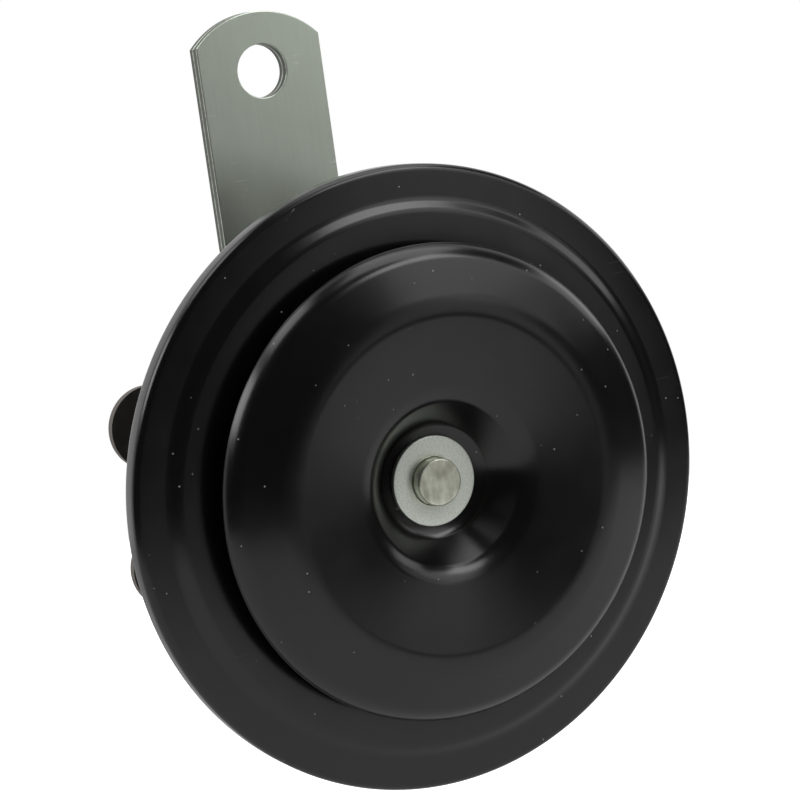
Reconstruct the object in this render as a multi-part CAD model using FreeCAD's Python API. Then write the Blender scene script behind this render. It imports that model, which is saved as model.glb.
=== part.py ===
"""Electric disc horn on a two-leaf bracket, one STEP file for each piece.

Millimetres, +Z up. The origin is on the axis of the bracket's mounting hole, in the rear face of the bracket.
The horn's own axis runs along Y below it, and the sound side faces -Y.
"""
import FreeCAD, Part
import math
import os

Vector = FreeCAD.Vector

# Bracket: two equal leaves, one behind the other
leaf_thickness = 1.5
leaf_width = 22.8
hole_to_axis = 66.5
mount_hole_radius = 4.5
crown_height = 10.0
crown_radius = 15.6
leaf_edge_break = 0.12

# Two points closer than this are one
same_place = 1e-6

# Mounting stud and what it clamps behind the housing
stud_radius = 4.0
stud_clearance = 0.2
stud_length_past_nut = 2.2
stud_chamfer = 0.8
nut_across_flats = 13.0
nut_height = 6.5
nut_chamfer_angle = 30.0
spring_washer_radius = 7.4
spring_washer_thickness = 2.0
spring_washer_split = 1.6
spacer_radius = 9.0
spacer_thickness = 2.0

# Rear housing, drawn from sheet: back, boss, ledge and flange
housing_sheet = 1.0
housing_depth = 32.5
boss_height = 4.0
boss_top_radius = 14.5
boss_flank = 3.0
back_corner_radius = 3.5
wall_draft = 0.8
ledge_width = 7.9
ledge_depth = 11.3
mouth_draft = 1.5
flange_width = 8.9
housing_bend = 0.8

# Front ring, pressed from sheet, folded round the housing's flange
ring_sheet = 1.0
rim_front_bend = 1.2
fold_width = 3.4
land_width = 5.5
step_run = 1.75
step_height = 1.0
step_crest_bend = 2.2
step_root_bend = 2.2
ring_opening_radius = 32.0
rim_clearance = 0.1

# Diaphragm and the gaskets on both sides of it
diaphragm_sheet = 0.4
gasket_thickness = 0.4
gasket_width = 3.0
gasket_clearance = 0.1
corrugation_inset = 6.1
corrugation_half_width = 2.2
corrugation_height = 0.7
corrugation_crest_bend = 2.0
corrugation_foot_bend = 3.0

# Tone disc, from its floor outwards: how far each band runs, and how far it rises or falls
tone_sheet = 1.2
tone_floor_margin = 1.25
funnel_run = 5.5
funnel_rise = 6.8
inner_face_run = 14.2
inner_face_rise = 2.15
cone_run = 9.0
cone_fall = 2.86
lip_run = 0.6
lip_fall = 2.22
tone_floor_bend = 2.6
tone_crest_bend = 7.0
tone_shoulder_bend = 9.0
tone_lip_bend = 4.0

# Stud, washers and armature that move with the tone disc
armature_stud_radius = 3.8
armature_stud_proud = 2.0
peened_edge = 0.35
tone_washer_radius = 7.25
tone_washer_thickness = 1.0
washer_edge_break = 0.15
hub_washer_radius = 8.6
front_hub_washer_thickness = 1.1
rear_hub_washer_thickness = 1.0
armature_radius = 9.0
armature_length = 12.0
armature_clearance = 0.3
armature_chamfer = 0.6
stud_shank_radius = 5.0
hub_clearance = 0.08
air_gap = 0.7

# Magnet: core, pole plate and coil
core_neck_radius = 5.5
core_chamfer = 0.5
plate_thickness = 1.5
plate_clearance = 0.3
plate_bore_clearance = 0.5
plate_rivet_radius = 1.2
plate_rivet_head_radius = 1.9
plate_rivet_head_height = 0.9
plate_rivet_count = 3
plate_rivet_start = 60.0
plate_rivet_inset = 0.6
bobbin_wall = 1.0
bobbin_clearance = 0.1
bobbin_flange = 1.2
bobbin_rear_gap = 2.2
winding_depth = 4.4
flange_proud = 1.0

# Breaker on the front of the pole plate
collar_width = 2.9
collar_thickness = 1.5
collar_setback = 2.5
collar_to_leaf = 0.2
breaker_leaf_thickness = 0.3
breaker_leaf_width = 7.0
breaker_leaf_reach = 10.5
breaker_root = 24.5
breaker_block_length = 11.5
leaf_to_armature = 0.4
contact_radius = 1.9
contact_reach = 7.0
moving_contact_height = 0.7
fixed_contact_height = 0.8
arm_thickness = 0.8
arm_to_collar = 0.8
arm_past_screw = 1.0
arm_tail = 2.6
top_insulator_thickness = 0.6
breaker_rivet_radius = 1.1
breaker_rivet_head_radius = 1.9
breaker_rivet_head_height = 0.8
breaker_rivet_pitch = 5.5
breaker_rivet_inset = 3.0
sleeve_wall = 0.7
running_gap = 0.05

# Adjusting screw through the back of the housing
adjuster_radius = 2.0
adjuster_proud = 2.4
adjuster_slot_width = 0.8
adjuster_slot_depth = 1.0
adjuster_hole_clearance = 0.4
adjuster_tip_length = 2.5
adjuster_nut_radius = 3.4
adjuster_nut_height = 2.6
adjuster_neck_radius = 2.8
lacquer_radius = 3.0
lacquer_height = 0.8
lacquer_top_width = 0.3

# Terminals on a two-eared carrier at the back
carrier_thickness = 1.6
ear_radius = 7.0
ear_overhang = 4.0
ear_spread = 20.4
carrier_boss_gap = 0.5
carrier_root_inset = 1.8
carrier_web_reach = 3.7
terminal_width = 6.3
terminal_thickness = 0.8
terminal_bend_radius = 1.2
terminal_blade_length = 8.0
terminal_past_ear = 1.6
terminal_nose = 1.2
terminal_hole_radius = 0.9
feed_rivet_radius = 1.25
feed_rivet_head_radius = 2.2
feed_rivet_head_height = 1.0
feed_boss_gap = 1.8
ear_rivet_inset = 2.2
bush_wall = 0.9
bush_flange_radius = 3.0
bush_flange_thickness = 0.6

# Internal leads
lead_radius = 0.5
lead_bend_radius = 0.7
lead_run = 4.0
lead_hole_radius = 1.2
lead_notch_clearance = 0.2
lead_plate_shift = 1.8
lead_plate_angle = 195.0
lead_loop = 4.2
feed_lead_loop = 2.1

# Stations along Y, from the back of the bracket to the front of the horn
axis_z = -hole_to_axis
bracket_front = -2.0 * leaf_thickness
boss_face = bracket_front - spacer_thickness
back_face = boss_face - boss_height
back_inside = back_face - housing_sheet
flange_front = back_face - housing_depth
flange_rear = flange_front + housing_sheet
ledge_inside = flange_front + ledge_depth - housing_sheet
ledge_outside = ledge_inside + housing_sheet
diaphragm_rear = flange_front - gasket_thickness
diaphragm_front = diaphragm_rear - diaphragm_sheet
ring_seat = diaphragm_front - gasket_thickness
land_front = ring_seat - ring_sheet
ring_front = land_front - step_height
floor_rear = diaphragm_front - front_hub_washer_thickness
floor_front = floor_rear - tone_sheet
tone_washer_front = floor_front - tone_washer_thickness
stud_tip = tone_washer_front - armature_stud_proud
armature_front = diaphragm_rear + rear_hub_washer_thickness
armature_rear = armature_front + armature_length
core_front = armature_rear + air_gap
plate_front = ledge_inside - plate_thickness
bobbin_rear = back_inside - bobbin_rear_gap
collar_front = armature_front + collar_setback
collar_rear = collar_front + collar_thickness
breaker_leaf_front = collar_rear + collar_to_leaf
breaker_leaf_rear = breaker_leaf_front + breaker_leaf_thickness
contact_face = breaker_leaf_front - moving_contact_height
arm_rear = contact_face - fixed_contact_height
arm_front = arm_rear - arm_thickness
top_insulator_front = arm_front - top_insulator_thickness
carrier_rear = back_face + carrier_thickness
terminal_rear = carrier_rear + terminal_thickness
nut_seat = spring_washer_thickness
nut_rear = nut_seat + nut_height

# Radii round the horn's axis, from the boss outwards to the rim
boss_radius = boss_top_radius + boss_flank
feed_rivet_circle = boss_radius + bush_flange_radius + feed_boss_gap
back_wall_radius = feed_rivet_circle + bush_flange_radius + back_corner_radius + housing_sheet
mouth_wall_radius = back_wall_radius + wall_draft
ledge_radius = mouth_wall_radius + ledge_width
flange_radius = ledge_radius + mouth_draft + flange_width
rim_radius = flange_radius + rim_clearance + ring_sheet
land_inner_radius = rim_radius - land_width
gasket_radius = rim_radius - rim_front_bend - gasket_clearance
corrugation_radius = gasket_radius - gasket_width - corrugation_inset - corrugation_half_width

# Radii of the tone disc
tone_floor_radius = tone_washer_radius + tone_floor_margin
tone_crest_radius = tone_floor_radius + funnel_run
tone_shoulder_radius = tone_crest_radius + inner_face_run
tone_lip_radius = tone_shoulder_radius + cone_run
tone_radius = tone_lip_radius + lip_run

# Radii and reaches of the magnet and the breaker
bobbin_bore = armature_radius + armature_clearance
core_radius = bobbin_bore - bobbin_clearance
winding_inner = bobbin_bore + bobbin_wall
winding_outer = winding_inner + winding_depth
bobbin_radius = winding_outer + flange_proud
plate_radius = ledge_radius - housing_sheet - mouth_draft - plate_clearance
plate_rivet_circle = mouth_wall_radius + ledge_width / 2.0 - plate_rivet_inset
collar_radius = armature_radius + collar_width
breaker_line = -(armature_radius + leaf_to_armature + breaker_leaf_width / 2.0)
adjuster_reach = math.sqrt(feed_rivet_circle ** 2 - breaker_line ** 2)
arm_reach = adjuster_reach + adjuster_radius + arm_past_screw
rivet_x = [-breaker_root + breaker_rivet_inset + i * breaker_rivet_pitch for i in range(2)]
lead_coil_radius = winding_outer + lead_radius
lead_plate_radius = lead_coil_radius + lead_plate_shift

# Radii and angles of the terminals
ear_angles = {"upper": 180.0 - ear_spread, "lower": 180.0 + ear_spread}
ear_centre_radius = back_wall_radius + ear_overhang
ear_rivet_circle = ear_centre_radius - ear_rivet_inset
terminal_blade_radius = ear_centre_radius + terminal_past_ear
bush_radius = feed_rivet_radius + bush_wall


def on_axis(x, y, z):
    """A point given from the horn's axis."""
    return Vector(x, y, axis_z + z)


def polar(radius, degrees, y):
    """A point at an angle round the horn's axis, seen from the front, from +X towards +Z."""
    turn = math.radians(degrees)
    return on_axis(radius * math.cos(turn), y, radius * math.sin(turn))


def rounded_path(points, radii):
    """Edges through the points, with each inner corner rounded to its radius."""
    edges = []
    start = points[0]
    for before, corner, after, radius in zip(points, points[1:], points[2:], radii):
        way_in = (corner - before).normalize()
        way_out = (after - corner).normalize()
        turn = way_in.getAngle(way_out)
        if radius <= 0.0 or turn < same_place:
            edges.append(Part.makeLine(start, corner))
            start = corner
            continue
        reach = radius * math.tan(turn / 2.0)
        first = corner - way_in * reach
        last = corner + way_out * reach
        inward = (way_out - way_in).normalize()
        middle = corner + inward * (radius / math.cos(turn / 2.0) - radius)
        if first.distanceToPoint(start) > same_place:
            edges.append(Part.makeLine(start, first))
        edges.append(Part.Arc(first, middle, last).toShape())
        start = last
    edges.append(Part.makeLine(start, points[-1]))
    return edges


def turned_point(radius, y):
    """A point of a section that is turned about the horn's axis."""
    return on_axis(radius, y, 0.0)


def beside(points, distance):
    """The path (radius, y) moved sideways by a distance, to its left where that is positive."""
    sides = []
    for (r0, y0), (r1, y1) in zip(points, points[1:]):
        length = math.hypot(r1 - r0, y1 - y0)
        across = (-(y1 - y0) / length * distance, (r1 - r0) / length * distance)
        sides.append(((r0 + across[0], y0 + across[1]), (r1 + across[0], y1 + across[1])))
    moved = [sides[0][0]]
    for (a, b), (c, d) in zip(sides, sides[1:]):
        along = (b[0] - a[0], b[1] - a[1])
        other = (d[0] - c[0], d[1] - c[1])
        cross = along[0] * other[1] - along[1] * other[0]
        if abs(cross) < same_place:
            moved.append(b)
            continue
        share = ((c[0] - a[0]) * other[1] - (c[1] - a[1]) * other[0]) / cross
        moved.append((a[0] + along[0] * share, a[1] + along[1] * share))
    moved.append(sides[-1][1])
    return moved


def bends_beside(points, radii, distance):
    """The bend radii on the other face of the sheet, which share their centres with the first."""
    far = []
    for (r0, y0), (r1, y1), (r2, y2), radius in zip(points, points[1:], points[2:], radii):
        turn = (r1 - r0) * (y2 - y1) - (y1 - y0) * (r2 - r1)
        far.append(max(radius - math.copysign(1.0, turn) * distance, 0.0))
    return far


def spin(edges):
    """A solid turned about the horn's axis from the closed outline of its section."""
    face = Part.Face(Part.Wire(edges))
    return face.revolve(on_axis(0, 0, 0), Vector(0, 1, 0), 360.0)


def pressed(points, radii, thickness):
    """A round pressed sheet: the path (radius, y) of one face, its bends, and the wall to its left."""
    far = beside(points, thickness)
    far_radii = bends_beside(points, radii, thickness)
    near_points = [turned_point(*p) for p in points]
    far_points = [turned_point(*p) for p in reversed(far)]
    edges = rounded_path(near_points, radii)
    edges.append(Part.makeLine(near_points[-1], far_points[0]))
    edges += rounded_path(far_points, list(reversed(far_radii)))
    edges.append(Part.makeLine(far_points[-1], near_points[0]))
    return spin(edges)


def turned(points):
    """A solid turned about the horn's axis from the corners (radius, y) of its section."""
    corners = [turned_point(*p) for p in points]
    return spin([Part.makeLine(a, b) for a, b in zip(corners, corners[1:] + corners[:1])])


def rod(base, radius, length):
    """A round bar along +Y from its front end."""
    return Part.makeCylinder(radius, length, base, Vector(0, 1, 0))


def ring(inner, outer, front, rear):
    """A plain ring round the horn's axis."""
    return turned([(inner, front), (outer, front), (outer, rear), (inner, rear)])


def slab(x0, x1, front, rear, z0, z1):
    """A block given from the horn's axis."""
    return Part.makeBox(x1 - x0, rear - front, z1 - z0, on_axis(x0, front, z0))


def rivet(place, shank_radius, head_radius, head_height, front, rear):
    """A rivet along Y, its shank from front to rear, with a domed head past each end."""
    shank = rod(Vector(place.x, front, place.z), shank_radius, rear - front)
    dome = (head_radius ** 2 + head_height ** 2) / (2.0 * head_height)
    heads = []
    for seat, side in ((front, -1.0), (rear, 1.0)):
        ball = Part.makeSphere(dome, Vector(place.x, seat + side * (head_height - dome), place.z))
        cap = rod(Vector(place.x, min(seat, seat + side * head_height), place.z), head_radius, head_height)
        heads.append(ball.common(cap))
    return shank.fuse(heads).removeSplitter()


def tube(points, radius, bend):
    """A round wire along straight runs joined by arcs."""
    path = Part.Wire(rounded_path(points, [bend] * (len(points) - 2)))
    start = (points[1] - points[0]).normalize()
    section = Part.Wire(Part.makeCircle(radius, points[0], start))
    return path.makePipeShell([section], True, False)


def bracket_leaf(front):
    """One leaf: straight sides, a crown over the mounting hole and a rounded foot below the stud."""
    half = leaf_width / 2.0
    crown_centre = crown_height - crown_radius
    shoulder = crown_centre + math.sqrt(crown_radius ** 2 - half ** 2)
    foot = axis_z
    corner = [Vector(half, front, foot), Vector(half, front, shoulder),
              Vector(-half, front, shoulder), Vector(-half, front, foot)]
    crown = Part.Arc(corner[1], Vector(0, front, crown_height), corner[2]).toShape()
    toe = Part.Arc(corner[3], Vector(0, front, foot - half), corner[0]).toShape()
    outline = [Part.makeLine(corner[0], corner[1]), crown, Part.makeLine(corner[2], corner[3]), toe]
    leaf = Part.Face(Part.Wire(outline)).extrude(Vector(0, leaf_thickness, 0))
    outer_edges = [e for e in leaf.Edges if e.BoundBox.YLength < same_place]
    leaf = leaf.makeChamfer(leaf_edge_break, outer_edges)
    leaf = leaf.cut(rod(Vector(0, front, 0), mount_hole_radius, leaf_thickness))
    return leaf.cut(rod(Vector(0, front, foot), stud_radius + stud_clearance, leaf_thickness))


def bracket_spacer():
    """The plain ring that keeps the bracket off the housing's boss."""
    return ring(stud_radius + stud_clearance, spacer_radius, boss_face, bracket_front)


def spring_washer():
    """A split spring washer, flattened by the nut."""
    washer = ring(stud_radius + stud_clearance, spring_washer_radius, 0.0, spring_washer_thickness)
    half = spring_washer_split / 2.0
    return washer.cut(slab(-half, half, 0.0, spring_washer_thickness, 0.0, spring_washer_radius + half))


def bracket_nut():
    """A hexagon nut, its corners turned off at both faces."""
    corner = nut_across_flats / math.sqrt(3.0)
    points = [polar(corner, 60.0 * i, nut_seat) for i in range(7)]
    nut = Part.Face(Part.makePolygon(points)).extrude(Vector(0, nut_height, 0))
    flat = nut_across_flats / 2.0
    drop = (corner - flat) * math.tan(math.radians(nut_chamfer_angle))
    outline = [(0.0, nut_seat), (flat, nut_seat), (corner, nut_seat + drop),
               (corner, nut_rear - drop), (flat, nut_rear), (0.0, nut_rear)]
    nut = nut.common(turned(outline))
    return nut.cut(rod(on_axis(0, nut_seat, 0), stud_radius + running_gap, nut_height))


def rear_housing():
    """The drawn pot: flange, mouth, ledge for the pole plate, wall, back and raised boss."""
    path = [(core_neck_radius + running_gap, boss_face), (boss_top_radius, boss_face),
            (boss_radius, back_face), (back_wall_radius, back_face),
            (mouth_wall_radius, ledge_outside), (ledge_radius, ledge_outside),
            (ledge_radius + mouth_draft, flange_rear), (flange_radius, flange_rear)]
    outer_bend = housing_sheet + housing_bend
    bends = [outer_bend, housing_bend, back_corner_radius, housing_bend, outer_bend, housing_bend]
    pot = pressed(path, bends, -housing_sheet)
    for place in plate_rivet_places():
        pot = pot.cut(rod(Vector(place.x, ledge_inside, place.z), plate_rivet_radius, housing_sheet))
    for angle in ear_angles.values():
        pot = pot.cut(rod(polar(feed_rivet_circle, angle, back_inside), bush_radius, housing_sheet))
    return pot.cut(rod(adjuster_place(back_inside), adjuster_neck_radius, housing_sheet))


def front_ring():
    """The pressed ring: raised inner band, step, flat land, rim, and the fold behind the flange."""
    fold_rear = flange_rear + ring_sheet
    path = [(ring_opening_radius, ring_front), (land_inner_radius - step_run, ring_front),
            (land_inner_radius, land_front), (rim_radius, land_front),
            (rim_radius, fold_rear), (rim_radius - fold_width, fold_rear)]
    bends = [step_crest_bend, step_root_bend, rim_front_bend, ring_sheet + rim_clearance]
    return pressed(path, bends, ring_sheet)


def gasket(front):
    """A flat ring between the diaphragm and what clamps it."""
    return ring(gasket_radius - gasket_width, gasket_radius, front, front + gasket_thickness)


def diaphragm():
    """The spring-steel sheet, with one round corrugation that lets its middle move."""
    low = corrugation_radius - corrugation_half_width
    high = corrugation_radius + corrugation_half_width
    path = [(armature_stud_radius + hub_clearance, diaphragm_front), (low, diaphragm_front),
            (corrugation_radius, diaphragm_front - corrugation_height), (high, diaphragm_front),
            (flange_radius, diaphragm_front)]
    bends = [corrugation_foot_bend, corrugation_crest_bend, corrugation_foot_bend]
    return pressed(path, bends, diaphragm_sheet)


def tone_disc():
    """The dish: floor under the washer, funnel, crest, inner face, shoulder, cone and lip."""
    crest = floor_front - funnel_rise
    shoulder = crest - inner_face_rise
    lip = shoulder + cone_fall
    path = [(armature_stud_radius + hub_clearance, floor_front), (tone_floor_radius, floor_front),
            (tone_crest_radius, crest), (tone_shoulder_radius, shoulder), (tone_lip_radius, lip),
            (tone_radius, lip + lip_fall)]
    bends = [tone_floor_bend, tone_crest_bend, tone_shoulder_bend, tone_lip_bend]
    return pressed(path, bends, tone_sheet)


def tone_disc_washer():
    """The plain washer under the peened end of the stud."""
    edge = washer_edge_break
    bore = armature_stud_radius + hub_clearance
    return turned([(bore, tone_washer_front), (tone_washer_radius - edge, tone_washer_front),
                   (tone_washer_radius, tone_washer_front + edge), (tone_washer_radius, floor_front),
                   (bore, floor_front)])


def hub_washer(front, rear):
    """A stiff washer on one side of the diaphragm's middle."""
    return ring(armature_stud_radius + hub_clearance, hub_washer_radius, front, rear)


def armature_stud():
    """The stud: slim in front, where it is peened, with a thicker shank pressed into the armature."""
    edge = peened_edge
    return turned([(0.0, stud_tip), (armature_stud_radius - edge, stud_tip),
                   (armature_stud_radius, stud_tip + edge), (armature_stud_radius, armature_front),
                   (stud_shank_radius, armature_front), (stud_shank_radius, armature_rear),
                   (0.0, armature_rear)])


def armature():
    """The steel slug that the core pulls."""
    cut = armature_chamfer
    return turned([(stud_shank_radius, armature_front), (armature_radius - cut, armature_front),
                   (armature_radius, armature_front + cut), (armature_radius, armature_rear - cut),
                   (armature_radius - cut, armature_rear), (stud_shank_radius, armature_rear)])


def pusher_collar():
    """The insulating collar on the armature that opens the breaker."""
    return ring(armature_radius, collar_radius, collar_front, collar_rear)


def pole_core():
    """The core, its neck in the boss, and the stud that carries the bracket."""
    tip = nut_rear + stud_length_past_nut
    boss_inside = boss_face - housing_sheet
    edge = core_chamfer
    return turned([(0.0, core_front), (core_radius - edge, core_front), (core_radius, core_front + edge),
                   (core_radius, boss_inside), (core_neck_radius, boss_inside),
                   (core_neck_radius, boss_face), (stud_radius, boss_face),
                   (stud_radius, tip - stud_chamfer), (stud_radius - stud_chamfer, tip), (0.0, tip)])


def plate_rivet_places():
    """Where the pole plate is riveted to the housing's ledge."""
    angles = [plate_rivet_start + 360.0 / plate_rivet_count * i for i in range(plate_rivet_count)]
    return [polar(plate_rivet_circle, angle, plate_front) for angle in angles]


def pole_plate():
    """The plate that closes the magnet's circuit and carries the breaker."""
    plate = ring(armature_radius + plate_bore_clearance, plate_radius, plate_front, ledge_inside)
    holes = [(place, plate_rivet_radius) for place in plate_rivet_places()]
    holes += [(on_axis(x, plate_front, breaker_line), breaker_rivet_radius) for x in rivet_x]
    holes.append((adjuster_place(plate_front), adjuster_radius + adjuster_hole_clearance))
    holes.append((polar(lead_plate_radius, lead_plate_angle, plate_front), lead_hole_radius))
    holes.append((polar(feed_rivet_circle, ear_angles["lower"], plate_front), lead_hole_radius))
    for place, radius in holes:
        plate = plate.cut(rod(place, radius, plate_thickness))
    return plate


def plate_rivets():
    """The rivets that hold the pole plate on the housing's ledge."""
    return Part.makeCompound([rivet(place, plate_rivet_radius, plate_rivet_head_radius,
                                    plate_rivet_head_height, plate_front, ledge_outside)
                              for place in plate_rivet_places()])


def coil_bobbin():
    """The moulded former of the coil, its rear flange notched for the end of the wire."""
    front = ledge_inside
    body = turned([(bobbin_bore, front), (bobbin_radius, front), (bobbin_radius, front + bobbin_flange),
                   (winding_inner, front + bobbin_flange), (winding_inner, bobbin_rear - bobbin_flange),
                   (bobbin_radius, bobbin_rear - bobbin_flange), (bobbin_radius, bobbin_rear),
                   (bobbin_bore, bobbin_rear)])
    place = polar(lead_coil_radius, ear_angles["upper"], bobbin_rear - bobbin_flange)
    return body.cut(rod(place, lead_radius + lead_notch_clearance, bobbin_flange))


def coil_winding():
    """The wound wire as one body between the bobbin's flanges."""
    front = ledge_inside + bobbin_flange
    rear = bobbin_rear - bobbin_flange
    return ring(winding_inner, winding_outer, front, rear)


def breaker_block(front, rear, hole_radius):
    """An insulating block of the breaker's stack with its two rivet holes."""
    half = breaker_leaf_width / 2.0
    block = slab(-breaker_root, -breaker_root + breaker_block_length, front, rear,
                 breaker_line - half, breaker_line + half)
    for x in rivet_x:
        block = block.cut(rod(on_axis(x, front, breaker_line), hole_radius, rear - front))
    return block


def breaker_base():
    """The lowest insulator, with sleeves that keep the rivets off the leaf and the arm."""
    block = breaker_block(breaker_leaf_rear, plate_front, breaker_rivet_radius)
    sleeve_height = breaker_leaf_rear - arm_front
    sleeves = []
    for x in rivet_x:
        place = on_axis(x, arm_front, breaker_line)
        sleeve = rod(place, breaker_rivet_radius + sleeve_wall, sleeve_height)
        sleeves.append(sleeve.cut(rod(place, breaker_rivet_radius, sleeve_height)))
    return block.fuse(sleeves).removeSplitter()


def breaker_spacer():
    """The insulator between the moving leaf and the fixed arm."""
    return breaker_block(arm_rear, breaker_leaf_front, sleeve_hole_radius())


def breaker_cap():
    """The insulator under the front heads of the rivets."""
    return breaker_block(top_insulator_front, arm_front, breaker_rivet_radius)


def sleeve_hole_radius():
    """The hole that passes over an insulating sleeve."""
    return breaker_rivet_radius + sleeve_wall + running_gap


def breaker_strip(front, rear, reach, tail):
    """A flat strip of the breaker, from its tail past the rivets to its free end."""
    half = breaker_leaf_width / 2.0
    strip = slab(-breaker_root - tail, reach, front, rear, breaker_line - half, breaker_line + half)
    for x in rivet_x:
        strip = strip.cut(rod(on_axis(x, front, breaker_line), sleeve_hole_radius(), rear - front))
    return strip


def breaker_spring():
    """The moving leaf: the collar pushes its inner edge and lifts its contact off the fixed one."""
    return breaker_strip(breaker_leaf_front, breaker_leaf_rear, breaker_leaf_reach, arm_tail)


def fixed_arm():
    """The stiff arm in front of the leaf, cut away round the collar, that the screw pushes on."""
    arm = breaker_strip(arm_front, arm_rear, arm_reach, arm_tail)
    return arm.cut(rod(on_axis(0, arm_front, 0), collar_radius + arm_to_collar, arm_thickness))


def contact(front, rear):
    """A contact button."""
    return rod(on_axis(contact_reach, front, breaker_line), contact_radius, rear - front)


def breaker_rivets():
    """The two rivets through the breaker's stack and the pole plate."""
    return Part.makeCompound([rivet(on_axis(x, 0, breaker_line), breaker_rivet_radius,
                                    breaker_rivet_head_radius, breaker_rivet_head_height,
                                    top_insulator_front, ledge_inside) for x in rivet_x])


def adjuster_place(y):
    """A point on the adjusting screw's axis."""
    return on_axis(adjuster_reach, y, breaker_line)


def adjusting_screw():
    """The slotted screw that sets the fixed arm from outside."""
    front = arm_rear + adjuster_tip_length
    rear = back_face + adjuster_nut_height + adjuster_proud
    screw = rod(adjuster_place(front), adjuster_radius, rear - front)
    half = adjuster_slot_width / 2.0
    slot = slab(adjuster_reach - adjuster_radius, adjuster_reach + adjuster_radius,
                rear - adjuster_slot_depth, rear, breaker_line - half, breaker_line + half)
    return screw.cut(slot)


def adjuster_tip():
    """The insulating tip between the screw and the fixed arm."""
    return rod(adjuster_place(arm_rear), adjuster_radius, adjuster_tip_length)


def adjuster_nut():
    """The round nut riveted into the housing's back."""
    body = rod(adjuster_place(back_face), adjuster_nut_radius, adjuster_nut_height)
    neck = rod(adjuster_place(back_inside), adjuster_neck_radius, housing_sheet)
    bore = rod(adjuster_place(back_inside), adjuster_radius + running_gap,
               housing_sheet + adjuster_nut_height)
    return body.fuse(neck).removeSplitter().cut(bore)


def sealing_lacquer():
    """The ring of lacquer that locks the screw after it is set."""
    seat = back_face + adjuster_nut_height
    cone = Part.makeCone(lacquer_radius, adjuster_radius + lacquer_top_width, lacquer_height,
                         adjuster_place(seat), Vector(0, 1, 0))
    return cone.cut(rod(adjuster_place(seat), adjuster_radius + running_gap, lacquer_height))


def ear_arm(angle):
    """One ear of the carrier and the arm behind it, as a round-ended bar."""
    tip = polar(ear_centre_radius, angle, back_face)
    root = polar(feed_rivet_circle - carrier_root_inset, angle, back_face)
    out = (tip - root).normalize()
    side = Vector(-out.z, 0, out.x) * ear_radius
    ends = Part.Arc(tip - side, tip + out * ear_radius, tip + side).toShape()
    start = Part.Arc(root + side, root - out * ear_radius, root - side).toShape()
    outline = [ends, Part.makeLine(tip + side, root + side), start, Part.makeLine(root - side, tip - side)]
    return Part.Face(Part.Wire(outline)).extrude(Vector(0, carrier_thickness, 0))


def terminal_carrier():
    """The insulating board with two round ears that stand out past the housing."""
    half = feed_rivet_circle * math.sin(math.radians(ear_spread))
    web = slab(-feed_rivet_circle - carrier_web_reach, 0.0, back_face, carrier_rear, -half, half)
    board = web.fuse([ear_arm(angle) for angle in ear_angles.values()]).removeSplitter()
    board = board.cut(rod(on_axis(0, back_face, 0), boss_radius + carrier_boss_gap, carrier_thickness))
    for angle in ear_angles.values():
        for circle in (feed_rivet_circle, ear_rivet_circle):
            board = board.cut(rod(polar(circle, angle, back_face), feed_rivet_radius, carrier_thickness))
    return board


def terminal(angle):
    """A blade terminal: a strip riveted along the ear, bent back into the blade."""
    out = polar(1.0, angle, 0) - on_axis(0, 0, 0)
    across = Vector(-out.z, 0, out.x) * (terminal_width / 2.0)
    start = polar(feed_rivet_circle - terminal_width / 2.0, angle, carrier_rear)
    bend = polar(terminal_blade_radius, angle, carrier_rear)
    tip = bend + Vector(0, terminal_thickness + terminal_blade_length, 0)
    outer = rounded_path([start, bend, tip], [terminal_bend_radius])
    inset = bend - out * terminal_thickness + Vector(0, terminal_thickness, 0)
    inner = rounded_path([tip - out * terminal_thickness, inset, start + Vector(0, terminal_thickness, 0)],
                         [terminal_bend_radius - terminal_thickness])
    edges = outer + [Part.makeLine(tip, tip - out * terminal_thickness)] + inner
    edges.append(Part.makeLine(start + Vector(0, terminal_thickness, 0), start))
    for edge in edges:
        edge.translate(across * -1.0)
    strip = Part.Face(Part.Wire(edges)).extrude(across * 2.0)
    end_edges = [e for e in strip.Edges if e.BoundBox.YMin > tip.y - same_place]
    strip = strip.makeChamfer(terminal_nose, [e for e in end_edges if e.Length < terminal_width / 2.0])
    for circle in (feed_rivet_circle, ear_rivet_circle):
        strip = strip.cut(rod(polar(circle, angle, carrier_rear), feed_rivet_radius, terminal_thickness))
    middle = bend + Vector(0, terminal_thickness + terminal_blade_length / 2.0, 0)
    hole = Part.makeCylinder(terminal_hole_radius, 3.0 * terminal_thickness,
                             middle + out * terminal_thickness, out * -1.0)
    return strip.cut(hole)


def feed_bush(angle):
    """The insulating bush that brings a terminal's rivet through the housing."""
    place = polar(feed_rivet_circle, angle, back_inside)
    flange = place - Vector(0, bush_flange_thickness, 0)
    bush = rod(place, bush_radius, housing_sheet).fuse(rod(flange, bush_flange_radius, bush_flange_thickness))
    return bush.removeSplitter().cut(rod(flange, feed_rivet_radius, housing_sheet + bush_flange_thickness))


def terminal_rivets(circle, front):
    """The rivets on one circle, one through each terminal."""
    return Part.makeCompound([rivet(polar(circle, angle, 0), feed_rivet_radius, feed_rivet_head_radius,
                                    feed_rivet_head_height, front, terminal_rear)
                              for angle in ear_angles.values()])


def feed_seat():
    """Where a lead meets the inner head of a terminal's rivet, given at the lead's centre."""
    return back_inside - bush_flange_thickness - feed_rivet_head_height - lead_radius


def tail_end(centre, loop):
    """The end of a lead that comes down to a strip's tail, across its face at the given centre."""
    tail = -breaker_root - arm_tail + lead_radius
    edge = breaker_line + breaker_leaf_width / 2.0
    return [on_axis(tail, centre, edge + loop), on_axis(tail, centre, breaker_line)]


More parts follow.
